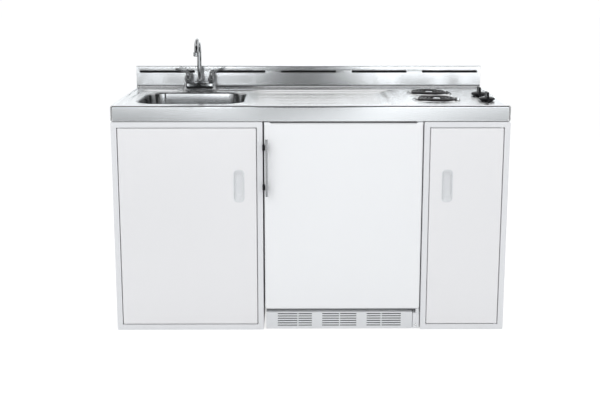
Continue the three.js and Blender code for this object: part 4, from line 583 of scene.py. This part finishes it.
def tap_levers():
    foot = TAP_FOOT
    hub = [(0, foot), (11.5, foot), (11.8, foot + 1), (11, foot + 2)]
    hub += arc(0, foot + 14, 15.5, -50, 50, 14)
    hub += [(9.8, foot + 26.2), (11.2, foot + 27.4), (11.2, foot + 29), (9.4, foot + 30.4), (9, foot + 34),
            (9.2, foot + 40), (8.4, foot + 44), (6, foot + 47), (0, foot + 48)]
    for name, (x, out) in VALVES.items():
        start = Vector((x, TAP_Y, foot + 41))
        bend = Vector((x + out * 16, TAP_Y, foot + 52))
        tip = Vector((x + out * 54, TAP_Y, foot + 59))
        points, radii = [], []
        for i in range(25):
            t = i / 24
            points.append(tuple(start * (1 - t) ** 2 + bend * 2 * t * (1 - t) + tip * t * t))
            swell = exp(-((t - 0.86) / 0.1) ** 2)
            radii.append((5.6 - 1.8 * min(1, t / 0.5) + 2.8 * swell) * (1 if t < 0.97 else 0.75))
        piece(f"{name}_lever_casting", [lathe(hub, x, TAP_Y, 40), tube(points, radii, 18)], lever_chrome_painted_shade,
              f"{name}_lever", f"tap_{name}_lever", smooth=50)


def tap_spout():
    foot = TAP_FOOT
    collar = [(7.6, foot), (11, foot), (11.4, foot + 1.4)] + arc(0, foot + 11, 14, -44, 44, 14)
    collar += [(10.8, foot + 21), (9.8, foot + 23.6), (7.6, foot + 24), (7.6, foot)]
    piece("spout_collar_casting", [lathe(collar, TAP_X, TAP_Y, 40)], chrome, "unit", "tap_spout_collar",
          smooth=50)
    centre = DECK + 159.5
    points = [(TAP_X, TAP_Y, z) for z in (foot + 0.4, foot + 26, foot + 32, foot + 40, foot + 52, foot + 66)]
    radii = [7.2, 7.2, 7.6, 8.4, 9.1, SPOUT_RADIUS]
    end_y = TAP_Y - 2 * SPOUT_BOW
    bow = arc(TAP_Y - SPOUT_BOW, centre, SPOUT_BOW, 0, 180, 40) + [(end_y, centre - 1.5)]
    points += [(TAP_X, y, z) for y, z in bow]
    radii += [SPOUT_RADIUS] * len(bow)
    piece("spout_tube", [tube(points, radii, 28)], chrome, "spout", "tap_spout", smooth=60)
    low = DECK + 153.5
    aerator = [(0, low + 2), (9.4, low + 2), (10, low + 0.4), (11.4, low), (12.3, low + 1), (12.5, low + 3),
               (12.5, low + 9), (12, low + 10), (12.5, low + 11), (12.5, low + 15.6), (11.8, low + 17),
               (11.2, low + 17), (11.2, low + 5), (0, low + 5)]
    piece("aerator_skin", [lathe(aerator, TAP_X, end_y, 36)], chrome, "spout", "tap_aerator")


tap_base()
tap_levers()
tap_spout()

# ---- Hob ----

COIL_Z = DECK + 6.75
LEG_Z = COIL_Z - 17
LEG_TAPER = [2.5, 2.5, 2.6, 2.8, 3, 3.3, 3.5]


def coil_points(y):
    """In by one leg, outwards along the flat spiral and out by the other leg."""
    inner, outer, turns, half, reach = 24.0, 78.5, 4, 9.0, 116
    start, end = -asin(half / inner), asin(half / outer)
    sweep, steps = 2 * pi * turns + end - start, 52 * turns
    spiral = []
    for i in range(steps + 1):
        t = i / steps
        r, a = inner + (outer - inner) * t, start + sweep * t
        spiral.append((HOB_X + r * cos(a), y + r * sin(a), COIL_Z))
    # The legs leave the spiral at its first and its last point.
    first, last = inner * cos(start), outer * cos(end)
    leg_in = [(reach, -half, LEG_Z), (first + 12, -half, LEG_Z), (first + 5, -half, LEG_Z + 1),
              (first + 2.4, -half - 0.6, LEG_Z + 3), (first + 1.2, -half - 1, LEG_Z + 6),
              (first, -half - 1.2, COIL_Z - 5), (first - 0.4, -half - 1.2, COIL_Z - 2)]
    leg_out = [(last - 1.2, half + 2, COIL_Z - 2), (last - 1.5, half + 2.4, COIL_Z - 4),
               (last - 0.5, half + 1.5, LEG_Z + 5), (last + 1, half + 0.5, LEG_Z + 2),
               (last + 3.5, half, LEG_Z + 0.6), (last + 7, half, LEG_Z), (reach, half, LEG_Z)]
    place = lambda line: [(HOB_X + x, y + across, z) for x, across, z in line]
    radii = LEG_TAPER + [LEG_TAPER[-1]] * len(spiral) + LEG_TAPER[::-1]
    return place(leg_in) + spiral + place(leg_out), radii


def hotplate(name, y):
    """A drip pan, its coil and the coil's support."""
    floor, top, ledge = DECK - 24, DECK + 3.5, DECK - 0.2
    profile = [(11, floor - 1), (11, floor + 1), (12.5, floor), (34, floor), (50, floor + 2.2),
               (66, floor + 5.5), (77, floor + 9), (81, floor + 13), (84, floor + 19), (86, ledge - 1),
               (87, ledge), (89.5, ledge), (90.6, ledge + 0.8), (91.5, top - 1), (92.3, top - 0.1),
               (93.2, top), (94.3, top - 0.8), (95, top - 2.4), (95, DECK + GAP)]
    # The legs of the coil pass through a slot at the right of the pan.
    slot_x, slot_half, slot_top = HOB_X + 54, 14, LEG_Z + 8
    past_slot = lambda x, across, z: not (x > slot_x and abs(across - y) < slot_half and z < slot_top)
    piece(f"{name}_pan_skin", [only(lathe(profile, HOB_X, y, 96), past_slot)], bright_chrome, "unit",
          f"{name}_drip_pan", smooth=40, thick=0.7)
    points, radii = coil_points(y)
    verts, faces = tube(points, radii, 14)
    # The coil's upper side is flattened, as on a real element.
    level, share = COIL_Z + 2.5, 0.5
    verts = [(x, across, level + (z - level) * share if z > level else z) for x, across, z in verts]
    piece(f"{name}_coil_tube", [(verts, faces)], element_black, f"{name}_element", f"{name}_coil",
          smooth=50)
    arm_top = COIL_Z - 3.8
    hub = [(0, arm_top - 7), (10, arm_top - 7), (13.5, arm_top - 3), (15.2, arm_top + 1),
           (15.5, arm_top + 4), (14.6, arm_top + 5), (10, arm_top + 4.6), (0, arm_top + 4.2)]
    parts = [lathe(hub, HOB_X, y, 40)]
    side = [(4, arm_top), (4, arm_top - 7), (80, arm_top - 7), (83, DECK + 0.1), (88.5, DECK + 0.1),
            (88.5, arm_top)]
    for k in range(3):
        angle = pi + k * 2 * pi / 3
        cosine, sine = cos(angle), sin(angle)
        edge = lambda w: [(HOB_X + r * cosine - w * sine, y + r * sine + w * cosine, z) for r, z in side]
        parts.append(solid([edge(-1.2), edge(1.2)]))
    piece(f"{name}_support_skin", parts, bright_chrome, f"{name}_element", f"{name}_coil_support",
          soft=0.25)


def control(name, y):
    """A heat switch with its dial marks, and the knob."""
    turned = lambda profile, segments: lathe(profile, KNOB_X, y, segments)
    bezel = turned([(0, DECK + GAP), (25, DECK + GAP), (25.2, DECK + 0.8), (24.6, DECK + 1.5),
                    (23, DECK + 2), (0, DECK + 2)], 64)
    body = block(*around(KNOB_X, y, 22, 22), UNDER - 34, UNDER, 1.5)
    shaft = turned([(0, UNDER - 2), (5, UNDER - 2), (5, DECK + 1), (3, DECK + 1), (3, DECK + 14),
                    (0, DECK + 14)], 24)
    piece(f"{name}_switch_skin", [bezel, body, shaft], satin_steel, "unit", f"{name}_heat_switch")
    ticks = []
    for k in range(9):
        angle = radians(-120 + 30 * k)
        ends = [(KNOB_X + r * sin(angle), y + r * cos(angle), z)
                for r, z in ((21.4, DECK + 2), (24, DECK + 1.8))]
        ticks.append(tube(ends, 0.35, 6))
    piece(f"{name}_dial_marks", ticks, black_gloss, "unit")
    low, high, radius, height = DECK + 2.6, DECK + 38, 31.5, 16.0
    # The skirt as shares of its radius and height.
    shares = [(0, 0), (0.72, 0), (0.8, 0.03125), (0.93, 0.16), (0.985, 0.3), (1, 0.42), (0.985, 0.54),
              (0.92, 0.68), (0.78, 0.82), (0.62, 0.91), (0.4, 0.97), (0, 1)]
    skirt = turned([(radius * r, low + height * z) for r, z in shares], 64)
    # The grip: how far each level stands in at its sides and ends, and its height.
    half = 5.5
    grip = around(KNOB_X, y, half, 33)
    levels = [(0, 0.6, low), (0, 0, low + 1), (0, 0, low + 7), (0.3, 1.6, low + 10), (0.7, 5, low + 15),
              (0.9, 7.5, low + 22), (1.2, 9, high - 3), (1.7, 9.8, high - 1.2), (2.8, 11.2, high - 0.2),
              (3.6, 12.4, high)]
    fin = solid([flat(inset_ring(grip, narrow, short, half - narrow, 6), z) for narrow, short, z in levels])
    piece(f"{name}_knob_moulding", [skirt, fin], black_gloss, f"{name}_control", f"{name}_knob",
          smooth=50)
    mark = block(KNOB_X - 0.7, KNOB_X + 0.7, y - 20, y - 13, high - 0.3, high + 0.15, 0.1)
    piece(f"{name}_knob_mark", [mark], white_plastic, f"{name}_control")


for name, y in HOB_Y.items():
    hotplate(name, y)
for name, y in KNOB_Y.items():
    control(name, y)

# ---- Cupboards ----

FRAME_TOP = 832.0
FRAME_WIDTH = 21.5
DOOR_GAP = 2.6
PULL_Z = 582.5
PULL_HALF = (20.5, 63.5)
PULL_IN, PIN_IN = 68, 8
CUPBOARDS = {"left": (LEFT, -184.0, -1), "right": (434.0, RIGHT, 1)}


def pull_cup(name, x):
    # How far each ring stands in at its sides and ends, and its y.
    rows = [(6, 27, 14.4), (3, 20, 14.4), (1.2, 4, 4), (1.2, 1.2, -0.3), (-1, -1, -0.2),
            (-0.9, -0.9, -0.7), (-0.4, -0.4, -1), (1, 1, -1.05), (1.8, 1.8, -0.8), (2.3, 2.3, -0.2)]
    for t in [i / 10 for i in range(11)]:
        rows.append((2.4 + 4.6 * t ** 2.2, 2.8 + 25.6 * t ** 1.15, 0.2 + 12.8 * eased(t) ** 0.8))
    area = around(x, PULL_Z, *PULL_HALF)
    rings = [upright(inset_ring(area, sides, ends, 15 - sides), y) for sides, ends, y in rows]
    piece(f"{name}_pull_moulding", [solid(rings)], white_plastic, f"{name}_door_leaf",
          f"{name}_door_pull", smooth=60)


def cupboard(name, x0, x1, hinge):
    """A cupboard's frame, door and pull; hinge is -1 at the left and 1 at the right."""
    opening = (x0 + FRAME_WIDTH, x1 - FRAME_WIDTH, FRAME_WIDTH, FRAME_TOP - FRAME_WIDTH)
    hole = lambda inset, radius, y: upright(inset_ring(opening, inset, inset, radius, 8), y)
    rings = panel_rings(x0, x1, 0, FRAME_TOP, 0, 25.5, 5, 2)
    rings += [hole(-1, 1.2, 0), hole(-0.3, 1.2, 0.3), hole(0, 1.2, 1), hole(0, 1.2, 24),
              hole(10, 1, 24), hole(10, 1, 25.5)]
    piece(f"{name}_frame_pressing", [loft(rings, closed=True)], enamel, "unit",
          f"{name}_cupboard_frame", smooth=40)
    left, right, low, high = opening
    door = left + DOOR_GAP, right - DOOR_GAP, low + DOOR_GAP, high - DOOR_GAP
    back = lambda inset, y: upright(inset_ring(door, inset, inset, 10, 8), y)
    rings = [back(30, 17), back(27, 17.2), back(25, 19.6), back(23, 20)]
    rings += panel_rings(*door, 0, 20, 4, 4)
    left, right, low, high = door
    pull_x = right - PULL_IN if hinge < 0 else left + PULL_IN
    area = around(pull_x, PULL_Z, *PULL_HALF)
    hollow = [(0.7, 0.7, 0), (0.9, 0.9, 1), (0.9, 3.5, 4.2), (2, 18, 15)]
    rings += [upright(inset_ring(area, sides, ends, 14, 8), y) for sides, ends, y in hollow]
    pin_x = left + PIN_IN if hinge < 0 else right - PIN_IN
    pins = [rod(4, (pin_x, 8, a), (pin_x, 8, b)) for a, b in ((low - 12.6, low + 3), (high - 3, high + 12.6))]
    piece(f"{name}_door_pressing", [solid(rings)] + pins, door_enamel, f"{name}_door_leaf",
          f"{name}_door", smooth=40)
    pull_cup(name, pull_x)


for name, (x0, x1, hinge) in CUPBOARDS.items():
    cupboard(name, x0, x1, hinge)

# ---- Refrigerator ----

DOOR = (-178.3, 430.1, 84.7, 827.0)
DOOR_BACK = 38
BAR_X, BAR_Y = -167.9, -25.95
GRILLE = (-174.3, 403.6, 2.0, 70.0)
LINER_LEFT, LINER_RIGHT = -131.4, 383.2


def fridge_door():
    x0, x1, z0, z1 = DOOR
    parts = [solid(panel_rings(x0, x1, z0, z1, 0, DOOR_BACK, 8, 8, 8))]
    # The two raised ends of the top: inset, rise over the top, and lean of the inner side.
    levels = [(0, -6, 0), (0, 0.3, 0), (0.3, 2.8, 5), (1, 3.8, 6.4), (1.8, 4, 7)]
    for a, b, lean_a, lean_b in ((x0, x0 + 27, 0, 1), (x1 - 27, x1, 1, 0)):
        parts.append(solid([flat(ring(a + inset + lean * lean_a, b - inset - lean * lean_b, inset + 0.5,
                                      DOOR_BACK - inset, 3, 4), z1 + rise)
                            for inset, rise, lean in levels]))
    piece("fridge_door_pressing", parts, fridge_enamel, "fridge_door_leaf", "fridge_door_shell",
          smooth=40)
    low, high = 546.5, 769.5
    bar = [(0, low), (4.6, low), (5.4, low + 0.3), (5.65, low + 1), (5.65, high - 1), (5.4, high - 0.3),
           (4.6, high), (0, high)]
    piece("handle_bar_skin", [lathe(bar, BAR_X, BAR_Y, 40)], bar_steel_painted_shade, "fridge_door_leaf",
          "fridge_handle_bar")
    side = [(x0 - 6.5, -0.3), (x0 - 6.5, -16), (x0 - 5.6, -18.6), (x0 - 3, -20), (BAR_X + 3, -20),
            (BAR_X + 3, -0.3)]
    for name, z in (("upper", 735.75), ("lower", 580.25)):
        a, b = z - 9.5, z + 9.5
        stand = solid([flat(side, a), flat(side, b)])
        hook = block(x0 - 4.5, x0 - 0.3, -2, 16, a, b, 0.5)
        screw = rod(3, (BAR_X - 0.2, -20.3, z), (BAR_X - 0.2, -18, z), 20)
        piece(f"handle_block_{name}_moulding", [stand, hook, screw], black_gloss, "fridge_door_leaf",
              f"fridge_handle_block_{name}", soft=0.7, smooth=30)


fridge_door()


def kick_grille():
    x0, x1, z0, z1 = GRILLE
    rings = panel_rings(x0, x1, z0, z1, 6, 53.7, 2, 2, 6)
    first, pitch, length, bridge = 45.4, 175.87, 135.37, 4.3
    row_low, row_pitch, half = 14.2, 9.56, 1.95
    slots, slats = [], []
    for group in range(3):
        start = first + group * pitch
        # The bridge between a group's two slots stands further left from group to group.
        divider = length * (0.575 - 0.083 * group)
        for a, b in ((start, start + divider), (start + divider + bridge, start + length)):
            for z in [z0 + row_low + row * row_pitch for row in range(6)]:
                slots.append(ring(x0 + a, x0 + b, z - half, z + half, 1.4, 3))
                slats.append(slat(x0 + a - 2, x0 + b + 2, (8, z + 3), (14, z - 2.6), (0.8, 0.3)))
    parts = [loft(rings), fill(rings[-1], *[upright(s, 6) for s in slots])]
    parts += [loft([upright(s, 6), upright(s, 8)]) for s in slots]
    piece("kick_grille_moulding", parts, white_plastic, "unit", "fridge_kick_grille",
          smooth=40)
    # The slats' dark grey is painted shade in the slots.
    piece("kick_grille_slats", slats, slat_grey_painted_shade, "unit")
    # A black sheet behind the slots: painted shade, so the openings look dark.
    dark = block(x0 + 4, x1 - 4, 30, 32, z0 + 3, z1 - 3)
    piece("kick_grille_painted_shade_screen", [dark], black_paint, "unit")


kick_grille()


def lower_hinge():
    """The refrigerator's lower hinge bracket and its screw."""
    pin_x, pin_y, screw_x, screw_z = 423.1, 9.0, 416.1, 15
    plate = solid(panel_rings(405.1, 430.6, 2, 66, 6, 53, 2, 1.5, 5))
    arm = block(pin_x - 7, pin_x + 7, 4, 53, 63, 67, 0.8)
    barrel = lathe([(0, 64), (6.4, 64), (7, 64.8), (7, 83.6), (6.4, 84.4), (4.3, 84.4), (4, 84.6), (4, 98),
                    (3.2, 98.7), (0, 98.7)], pin_x, pin_y, 32)
    washer = lathe([(0, 66.8), (9, 66.8), (9.4, 67.4), (9, 68.4), (0, 68.4)], pin_x, pin_y, 32)
    piece("lower_hinge_skin", [plate, arm, barrel, washer], enamel, "unit", "fridge_lower_hinge")
    angles = [pi * k / 16 for k in range(32)]
    turn = lambda r, y: [(screw_x + r * cos(a), y, screw_z + r * sin(a)) for a in angles]
    head = loft([turn(6, 6), turn(6, 5), turn(5.2, 4.2), turn(3, 3.9)], end=True)
    # A black bar on the screw head: painted shade standing for the slot's recess.
    slot = block(screw_x - 4.5, screw_x + 4.5, 3.6, 4.3, screw_z - 0.6, screw_z + 0.6, 0.2)
    piece("lower_hinge_screw", [head], satin_steel, "unit")
    piece("lower_hinge_screw_slot_painted_shade", [slot], black_paint, "unit")


lower_hinge()


def shelves():
    x0, x1, front, back = LINER_LEFT, LINER_RIGHT, 176, 534.7
    for name, z in (("lower", 330.0), ("upper", 560.0)):
        levels = [(0.4, z), (0, z + 0.6), (0, z + 4.4), (0.4, z + 5)]
        pane = solid([flat(inset_ring((x0, x1, front, back), inset, inset, 6, 6), level)
                      for inset, level in levels])
        piece(f"shelf_{name}_pane", [pane], glass, "unit", f"fridge_shelf_{name}")
        trim = [block(x0 + 4, x1 - 4, 168, 179, z - 0.4, z + 10, 2),
                block(x0, x1, 526, 535, z - 0.4, z + 6, 1)]
        piece(f"shelf_{name}_trim", trim, inner_plastic, "unit")


def evaporator():
    left, right, low, high, face = -64.1, 315.9, 590, 760, 525.7
    levels = [(0.5, face), (0, face + 0.5), (0, face + 1.5), (0.5, face + 2)]
    plate = solid([upright(inset_ring((left, right, low, high), inset, inset, 8, 6), y)
                   for inset, y in levels])
    run = tube(serpentine(left + 60, right - 60, face, 615, 40, 4), 3.4, 12)
    spacers = [rod(6, (x, 527, z), (x, 537.4, z), 20) for x in (left + 20, right - 20) for z in (610, 740)]
    piece("evaporator_skin", [plate, run] + spacers, aluminium, "unit", "fridge_evaporator")


def thermostat():
    wall, y, z = LINER_RIGHT, 215.0, 690.0
    angles = [pi * k / 24 for k in range(48)]
    across = lambda r, x: [(x, y + r * cos(a), z + r * sin(a)) for a in angles]
    disc = solid([across(20, wall), across(20, wall - 4), across(19.2, wall - 6), across(17, wall - 7.2)])
    grip = lambda w, h, x: [(x, y + u, z + v) for u, v in ring(-w, w, -h, h, w, 6)]
    bar = solid([grip(3.2, 17, wall - 6), grip(2.6, 15.5, wall - 12), grip(1.8, 14, wall - 13)])
    piece("thermostat_moulding", [disc, bar], white_plastic, "thermostat", "fridge_thermostat_dial")


def compressor():
    x, y, radius, low = 295.8, 492.0, 72.0, 18.3
    body, top = low + 12, low + 165
    # Shares of the radius at each height.
    shell = [(0, body - 2), (0.7, body - 2), (0.85, body + 2), (0.95, body + 10), (0.98, body + 20),
             (0.98, top - 76), (1, top - 75), (1, top - 69), (0.97, top - 68), (0.96, top - 45),
             (0.92, top - 30), (0.82, top - 16), (0.62, top - 6), (0.35, top - 1), (0, top)]
    parts = [lathe([(radius * share, z) for share, z in shell], x, y, 64)]
    parts.append(block(*around(x, y, radius * 0.95, radius * 0.8), body - 3, body, 1))
    parts.append(block(x - 24, x + 24, y + 50, y + 84, body + 34, body + 84, 3))
    foot = [(0, low), (8, low), (9, low + 2), (7, low + 5), (9, low + 8), (8, body - 1), (0, body - 1)]
    parts += [lathe(foot, x + i * radius * 0.8, y + j * radius * 0.65, 20) for i in (-1, 1) for j in (-1, 1)]
    piece("compressor_skin", parts, black_paint, "unit", "fridge_compressor")


def condenser():
    back, middle, half = 591.0, (-174.0 + 425.8) / 2, 235
    left, right, low, pitch, runs = middle - half, middle + half, 300.0, 58.0, 8
    high = low + pitch * (runs - 1)
    parts = [tube(serpentine(left + 29, right - 29, back, low, pitch, runs), 2.5, 12)]
    for x in [left + 44 + k * 10.6 for k in range(37)]:
        for y in (back - 3.2, back + 3.2):
            parts.append(tube([(x, y, low - 8), (x, y, high + 8)], 0.8, 6))
    strap_x = (left + 70, right - 70)
    parts += [block(x - 7, x + 7, back - 1, back + 1, low - 12, high + 12, 0.4) for x in strap_x]
    parts += [block(x - 7, x + 7, 580.3, back, z - 4, z + 4, 0.6)
              for x in strap_x for z in (low - 8, high + 8)]
    piece("condenser_skin", parts, black_paint, "unit", "fridge_condenser")


shelves()
evaporator()
thermostat()
compressor()
condenser()

# ---- Kept CAD nodes ----

KEPT = {
    enamel: ["left_cupboard_wrapper", "left_cupboard_base", "right_cupboard_wrapper", "right_cupboard_base",
             "right_cupboard_shelf", "fridge_cabinet"],
    white_plastic: ["left_door_catch", "right_door_catch"],
    inner_plastic: ["fridge_liner", "fridge_door_liner", "fridge_door_bin_lower", "fridge_door_bin_upper"],
    rubber: ["fridge_door_gasket"],
    ceramic: ["front_terminal_block", "rear_terminal_block"],
    galvanised: ["hob_tray", "fridge_upper_hinge"],
}
for mat, names in KEPT.items():
    for name in names:
        node = nodes[name]
        node.data.materials.clear()
        node.data.materials.append(mat)

# ---- Floor, light and camera ----

FLOOR_GLOW, FLOOR_SHARE = 1.3, 0.62
BACKGROUND, SOFT_LIGHT = 1.02, 0.62
CARD_TINT = (0.95, 0.98, 1)


def seen(tree):
    """1 for rays that show a background: camera, mirror and glass rays."""
    rays = add(tree, "LightPath")
    value = rays.outputs["Is Camera Ray"]
    for kind in ("Is Glossy Ray", "Is Transmission Ray"):
        either = add(tree, "Math", {0: value, 1: rays.outputs[kind]})
        either.operation = "MAXIMUM"
        value = either.outputs[0]
    return value


def studio_sheet(name, corners, mat):
    """A flat sheet of the studio, in metres."""
    mesh = bpy.data.meshes.new(name)
    mesh.from_pydata(corners, [], [(0, 1, 2, 3)])
    mesh.materials.append(mat)
    obj = bpy.data.objects.new(name, mesh)
    bpy.context.scene.collection.objects.link(obj)
    return obj


def floor():
    """A pale matt floor that keeps the object's shadow, lifted by a plain white glow."""
    mat, tree, shader = new_material("floor_white")
    plug(tree, shader, {"Base Color": (0.86, 0.86, 0.86, 1), "Roughness": 0.9})
    glow = add(tree, "Emission", {"Color": (1, 1, 1, 1), "Strength": FLOOR_GLOW})
    share = add(tree, "Math", {0: seen(tree), 1: FLOOR_SHARE})
    share.operation = "MULTIPLY"
    mix = add(tree, "MixShader", {"Fac": share.outputs[0], 1: shader.outputs["BSDF"],
                                  2: glow.outputs["Emission"]})
    plug(tree, tree.nodes["Material Output"], {"Surface": mix.outputs[0]})
    half = 30
    studio_sheet("floor", [(-half, -half, 0), (half, -half, 0), (half, half, 0), (-half, half, 0)], mat)


def world():
    sky = bpy.data.worlds.new("studio")
    bpy.context.scene.world = sky
    sky.use_nodes = True
    tree = sky.node_tree
    white = plug(tree, tree.nodes["Background"], {"Color": (1, 1, 1, 1), "Strength": BACKGROUND})
    soft = add(tree, "Background", {"Color": (0.95, 0.97, 1, 1), "Strength": SOFT_LIGHT})
    mix = add(tree, "MixShader", {"Fac": seen(tree), 1: soft.outputs["Background"],
                                  2: white.outputs["Background"]})
    plug(tree, tree.nodes["World Output"], {"Surface": mix.outputs[0]})


floor()
world()


def card(name, corners, shades):
    """A studio card that shades through evenly spaced greys from left to right; only mirrors see it."""
    mat, tree, _ = new_material(name)
    peak = max(shades)
    if len(shades) == 1:
        colour = (*CARD_TINT, 1)
    else:
        place = add(tree, "TexCoord").outputs["Generated"]
        split = add(tree, "SeparateXYZ", {"Vector": place})
        strip = add(tree, "ValToRGB", {"Fac": split.outputs["X"]})
        stops = strip.color_ramp.elements
        while len(stops) < len(shades):
            stops.new(0.5)
        for k, shade in enumerate(shades):
            stops[k].position = k / (len(shades) - 1)
            stops[k].color = (*[shade / peak * tint for tint in CARD_TINT], 1)
        colour = strip.outputs["Color"]
    glow = add(tree, "Emission", {"Color": colour, "Strength": peak})
    plug(tree, tree.nodes["Material Output"], {"Surface": glow.outputs["Emission"]})
    obj = studio_sheet(name, corners, mat)
    obj.visible_camera = False
    obj.visible_diffuse = False
    obj.visible_shadow = False
    obj.visible_transmission = False


SWEEP = (0.01, 0.05, 0.18, 0.62, 1.2, 1.0, 0.5, 0.2, 0.05)
PATCH = (0.8, 0.03, 0.02, 0.03, 0.8)
# Name, two opposite corners, brightness from left to right.
CARDS = [
    ("card_floor", (-1.9, -4.6, 0.01), (2.1, -1.4, 0.01), SWEEP),
    ("card_ceiling", (-3.0, -4.7, 3.2), (3.0, -0.6, 3.2), (0.03,)),
    ("card_over_sink", (-0.68, -0.05, 1.8), (-0.27, 0.7, 1.8), (0.02,)),
    ("card_low", (-1.9, -4.6, 0.01), (2.1, -4.6, 0.34), SWEEP),
    ("card_middle", (-5.0, -4.7, 0.34), (5.0, -4.7, 0.9), (1.2, 1.5, 1.3)),
    ("card_high", (-2.4, -4.7, 0.9), (2.4, -4.7, 2.1), (1.3, 1.6, 2.8, 5.8, 2.6, 4.2, 3.2, 2.4, 1.8)),
    ("card_top", (-4.0, -4.7, 2.1), (4.0, -4.7, 3.3), (0.04,)),
    ("card_patch_low", (-0.5, -4.6, 0.36), (0.48, -4.6, 0.88), PATCH),
    ("card_patch_high", (-0.6, -4.6, 0.92), (0.62, -4.6, 3.2), PATCH),
    ("card_sink", (-1.12, -4.65, 1.2), (-0.88, -4.65, 2.1), (0.02,)),
    ("card_back", (-2.2, 3.4, 0.0), (2.4, 3.4, 2.7), (0.75, 1.25, 1.65, 1.35, 0.8)),
    ("card_back_left", (-6.0, 3.3, 0.0), (-2.2, 3.3, 2.6), (0.05,)),
    ("card_back_right", (2.4, 3.3, 0.0), (6.0, 3.3, 2.6), (0.05,)),
]
# Name, x, y from and to, top; all the same dark grey.
SIDE_CARDS = [
    ("card_side_left", -3.4, -4.4, -0.9, 2.6),
    ("card_side_right", 3.6, -4.4, -0.9, 2.6),
    ("card_far_left", -6.0, -1.5, 3.3, 0.45),
    ("card_far_right", 6.0, -1.5, 3.3, 0.45),
]
for name, (x0, y0, z0), (x1, y1, z1), shades in CARDS:
    card(name, [(x0, y0, z0), (x1, y0, z0), (x1, y1, z1), (x0, y1, z1)], shades)
for name, x, y0, y1, top in SIDE_CARDS:
    card(name, [(x, y0, 0), (x, y1, 0), (x, y1, top), (x, y0, top)], (0.03,))

# Name, place, aim, size, power.
LAMPS = [
    ("key", (-1.9, -3.0, 3.2), (0, 0, 0.5), (2.4, 1.8), 44),
    ("fill", (2.6, -3.2, 2.2), (0.2, 0, 0.4), (2.0, 2.0), 22),
    ("top", (0.2, 0.3, 3.4), (0, 0, 0.9), (2.6, 1.4), 10),
    ("back", (0.0, 3.2, 2.4), (0, 0, 0.5), (2.6, 1.6), 16),
    ("left", (-4.2, 0.5, 1.4), (0, 0.1, 0.5), (2.0, 1.6), 13),
    ("right", (4.2, 0.5, 1.4), (0, 0.1, 0.5), (2.0, 1.6), 13),
]
for name, place, aim, size, power in LAMPS:
    light = bpy.data.lights.new(name, "AREA")
    light.shape = "RECTANGLE"
    light.size, light.size_y = size
    light.energy = power
    lamp = bpy.data.objects.new(name, light)
    lamp.location = place
    lamp.rotation_euler = (Vector(aim) - Vector(place)).to_track_quat("-Z", "Y").to_euler()
    lamp.visible_glossy = False
    bpy.context.scene.collection.objects.link(lamp)


def camera():
    data = bpy.data.cameras.new("camera")
    obj = bpy.data.objects.new("camera", data)
    bpy.context.scene.collection.objects.link(obj)
    data.sensor_width = 36
    data.lens = 54.0
    data.shift_x = 0.0004
    data.shift_y = -0.112
    obj.location = (-0.0587, -3.6747, 1.3733)
    pitch, yaw = radians(9.78), -0.005
    obj.rotation_euler = (pi / 2 - pitch, 0, yaw)
    data.clip_start, data.clip_end = 0.05, 100
    bpy.context.scene.camera = obj


camera()
bpy.context.scene.view_settings.view_transform = "Standard"
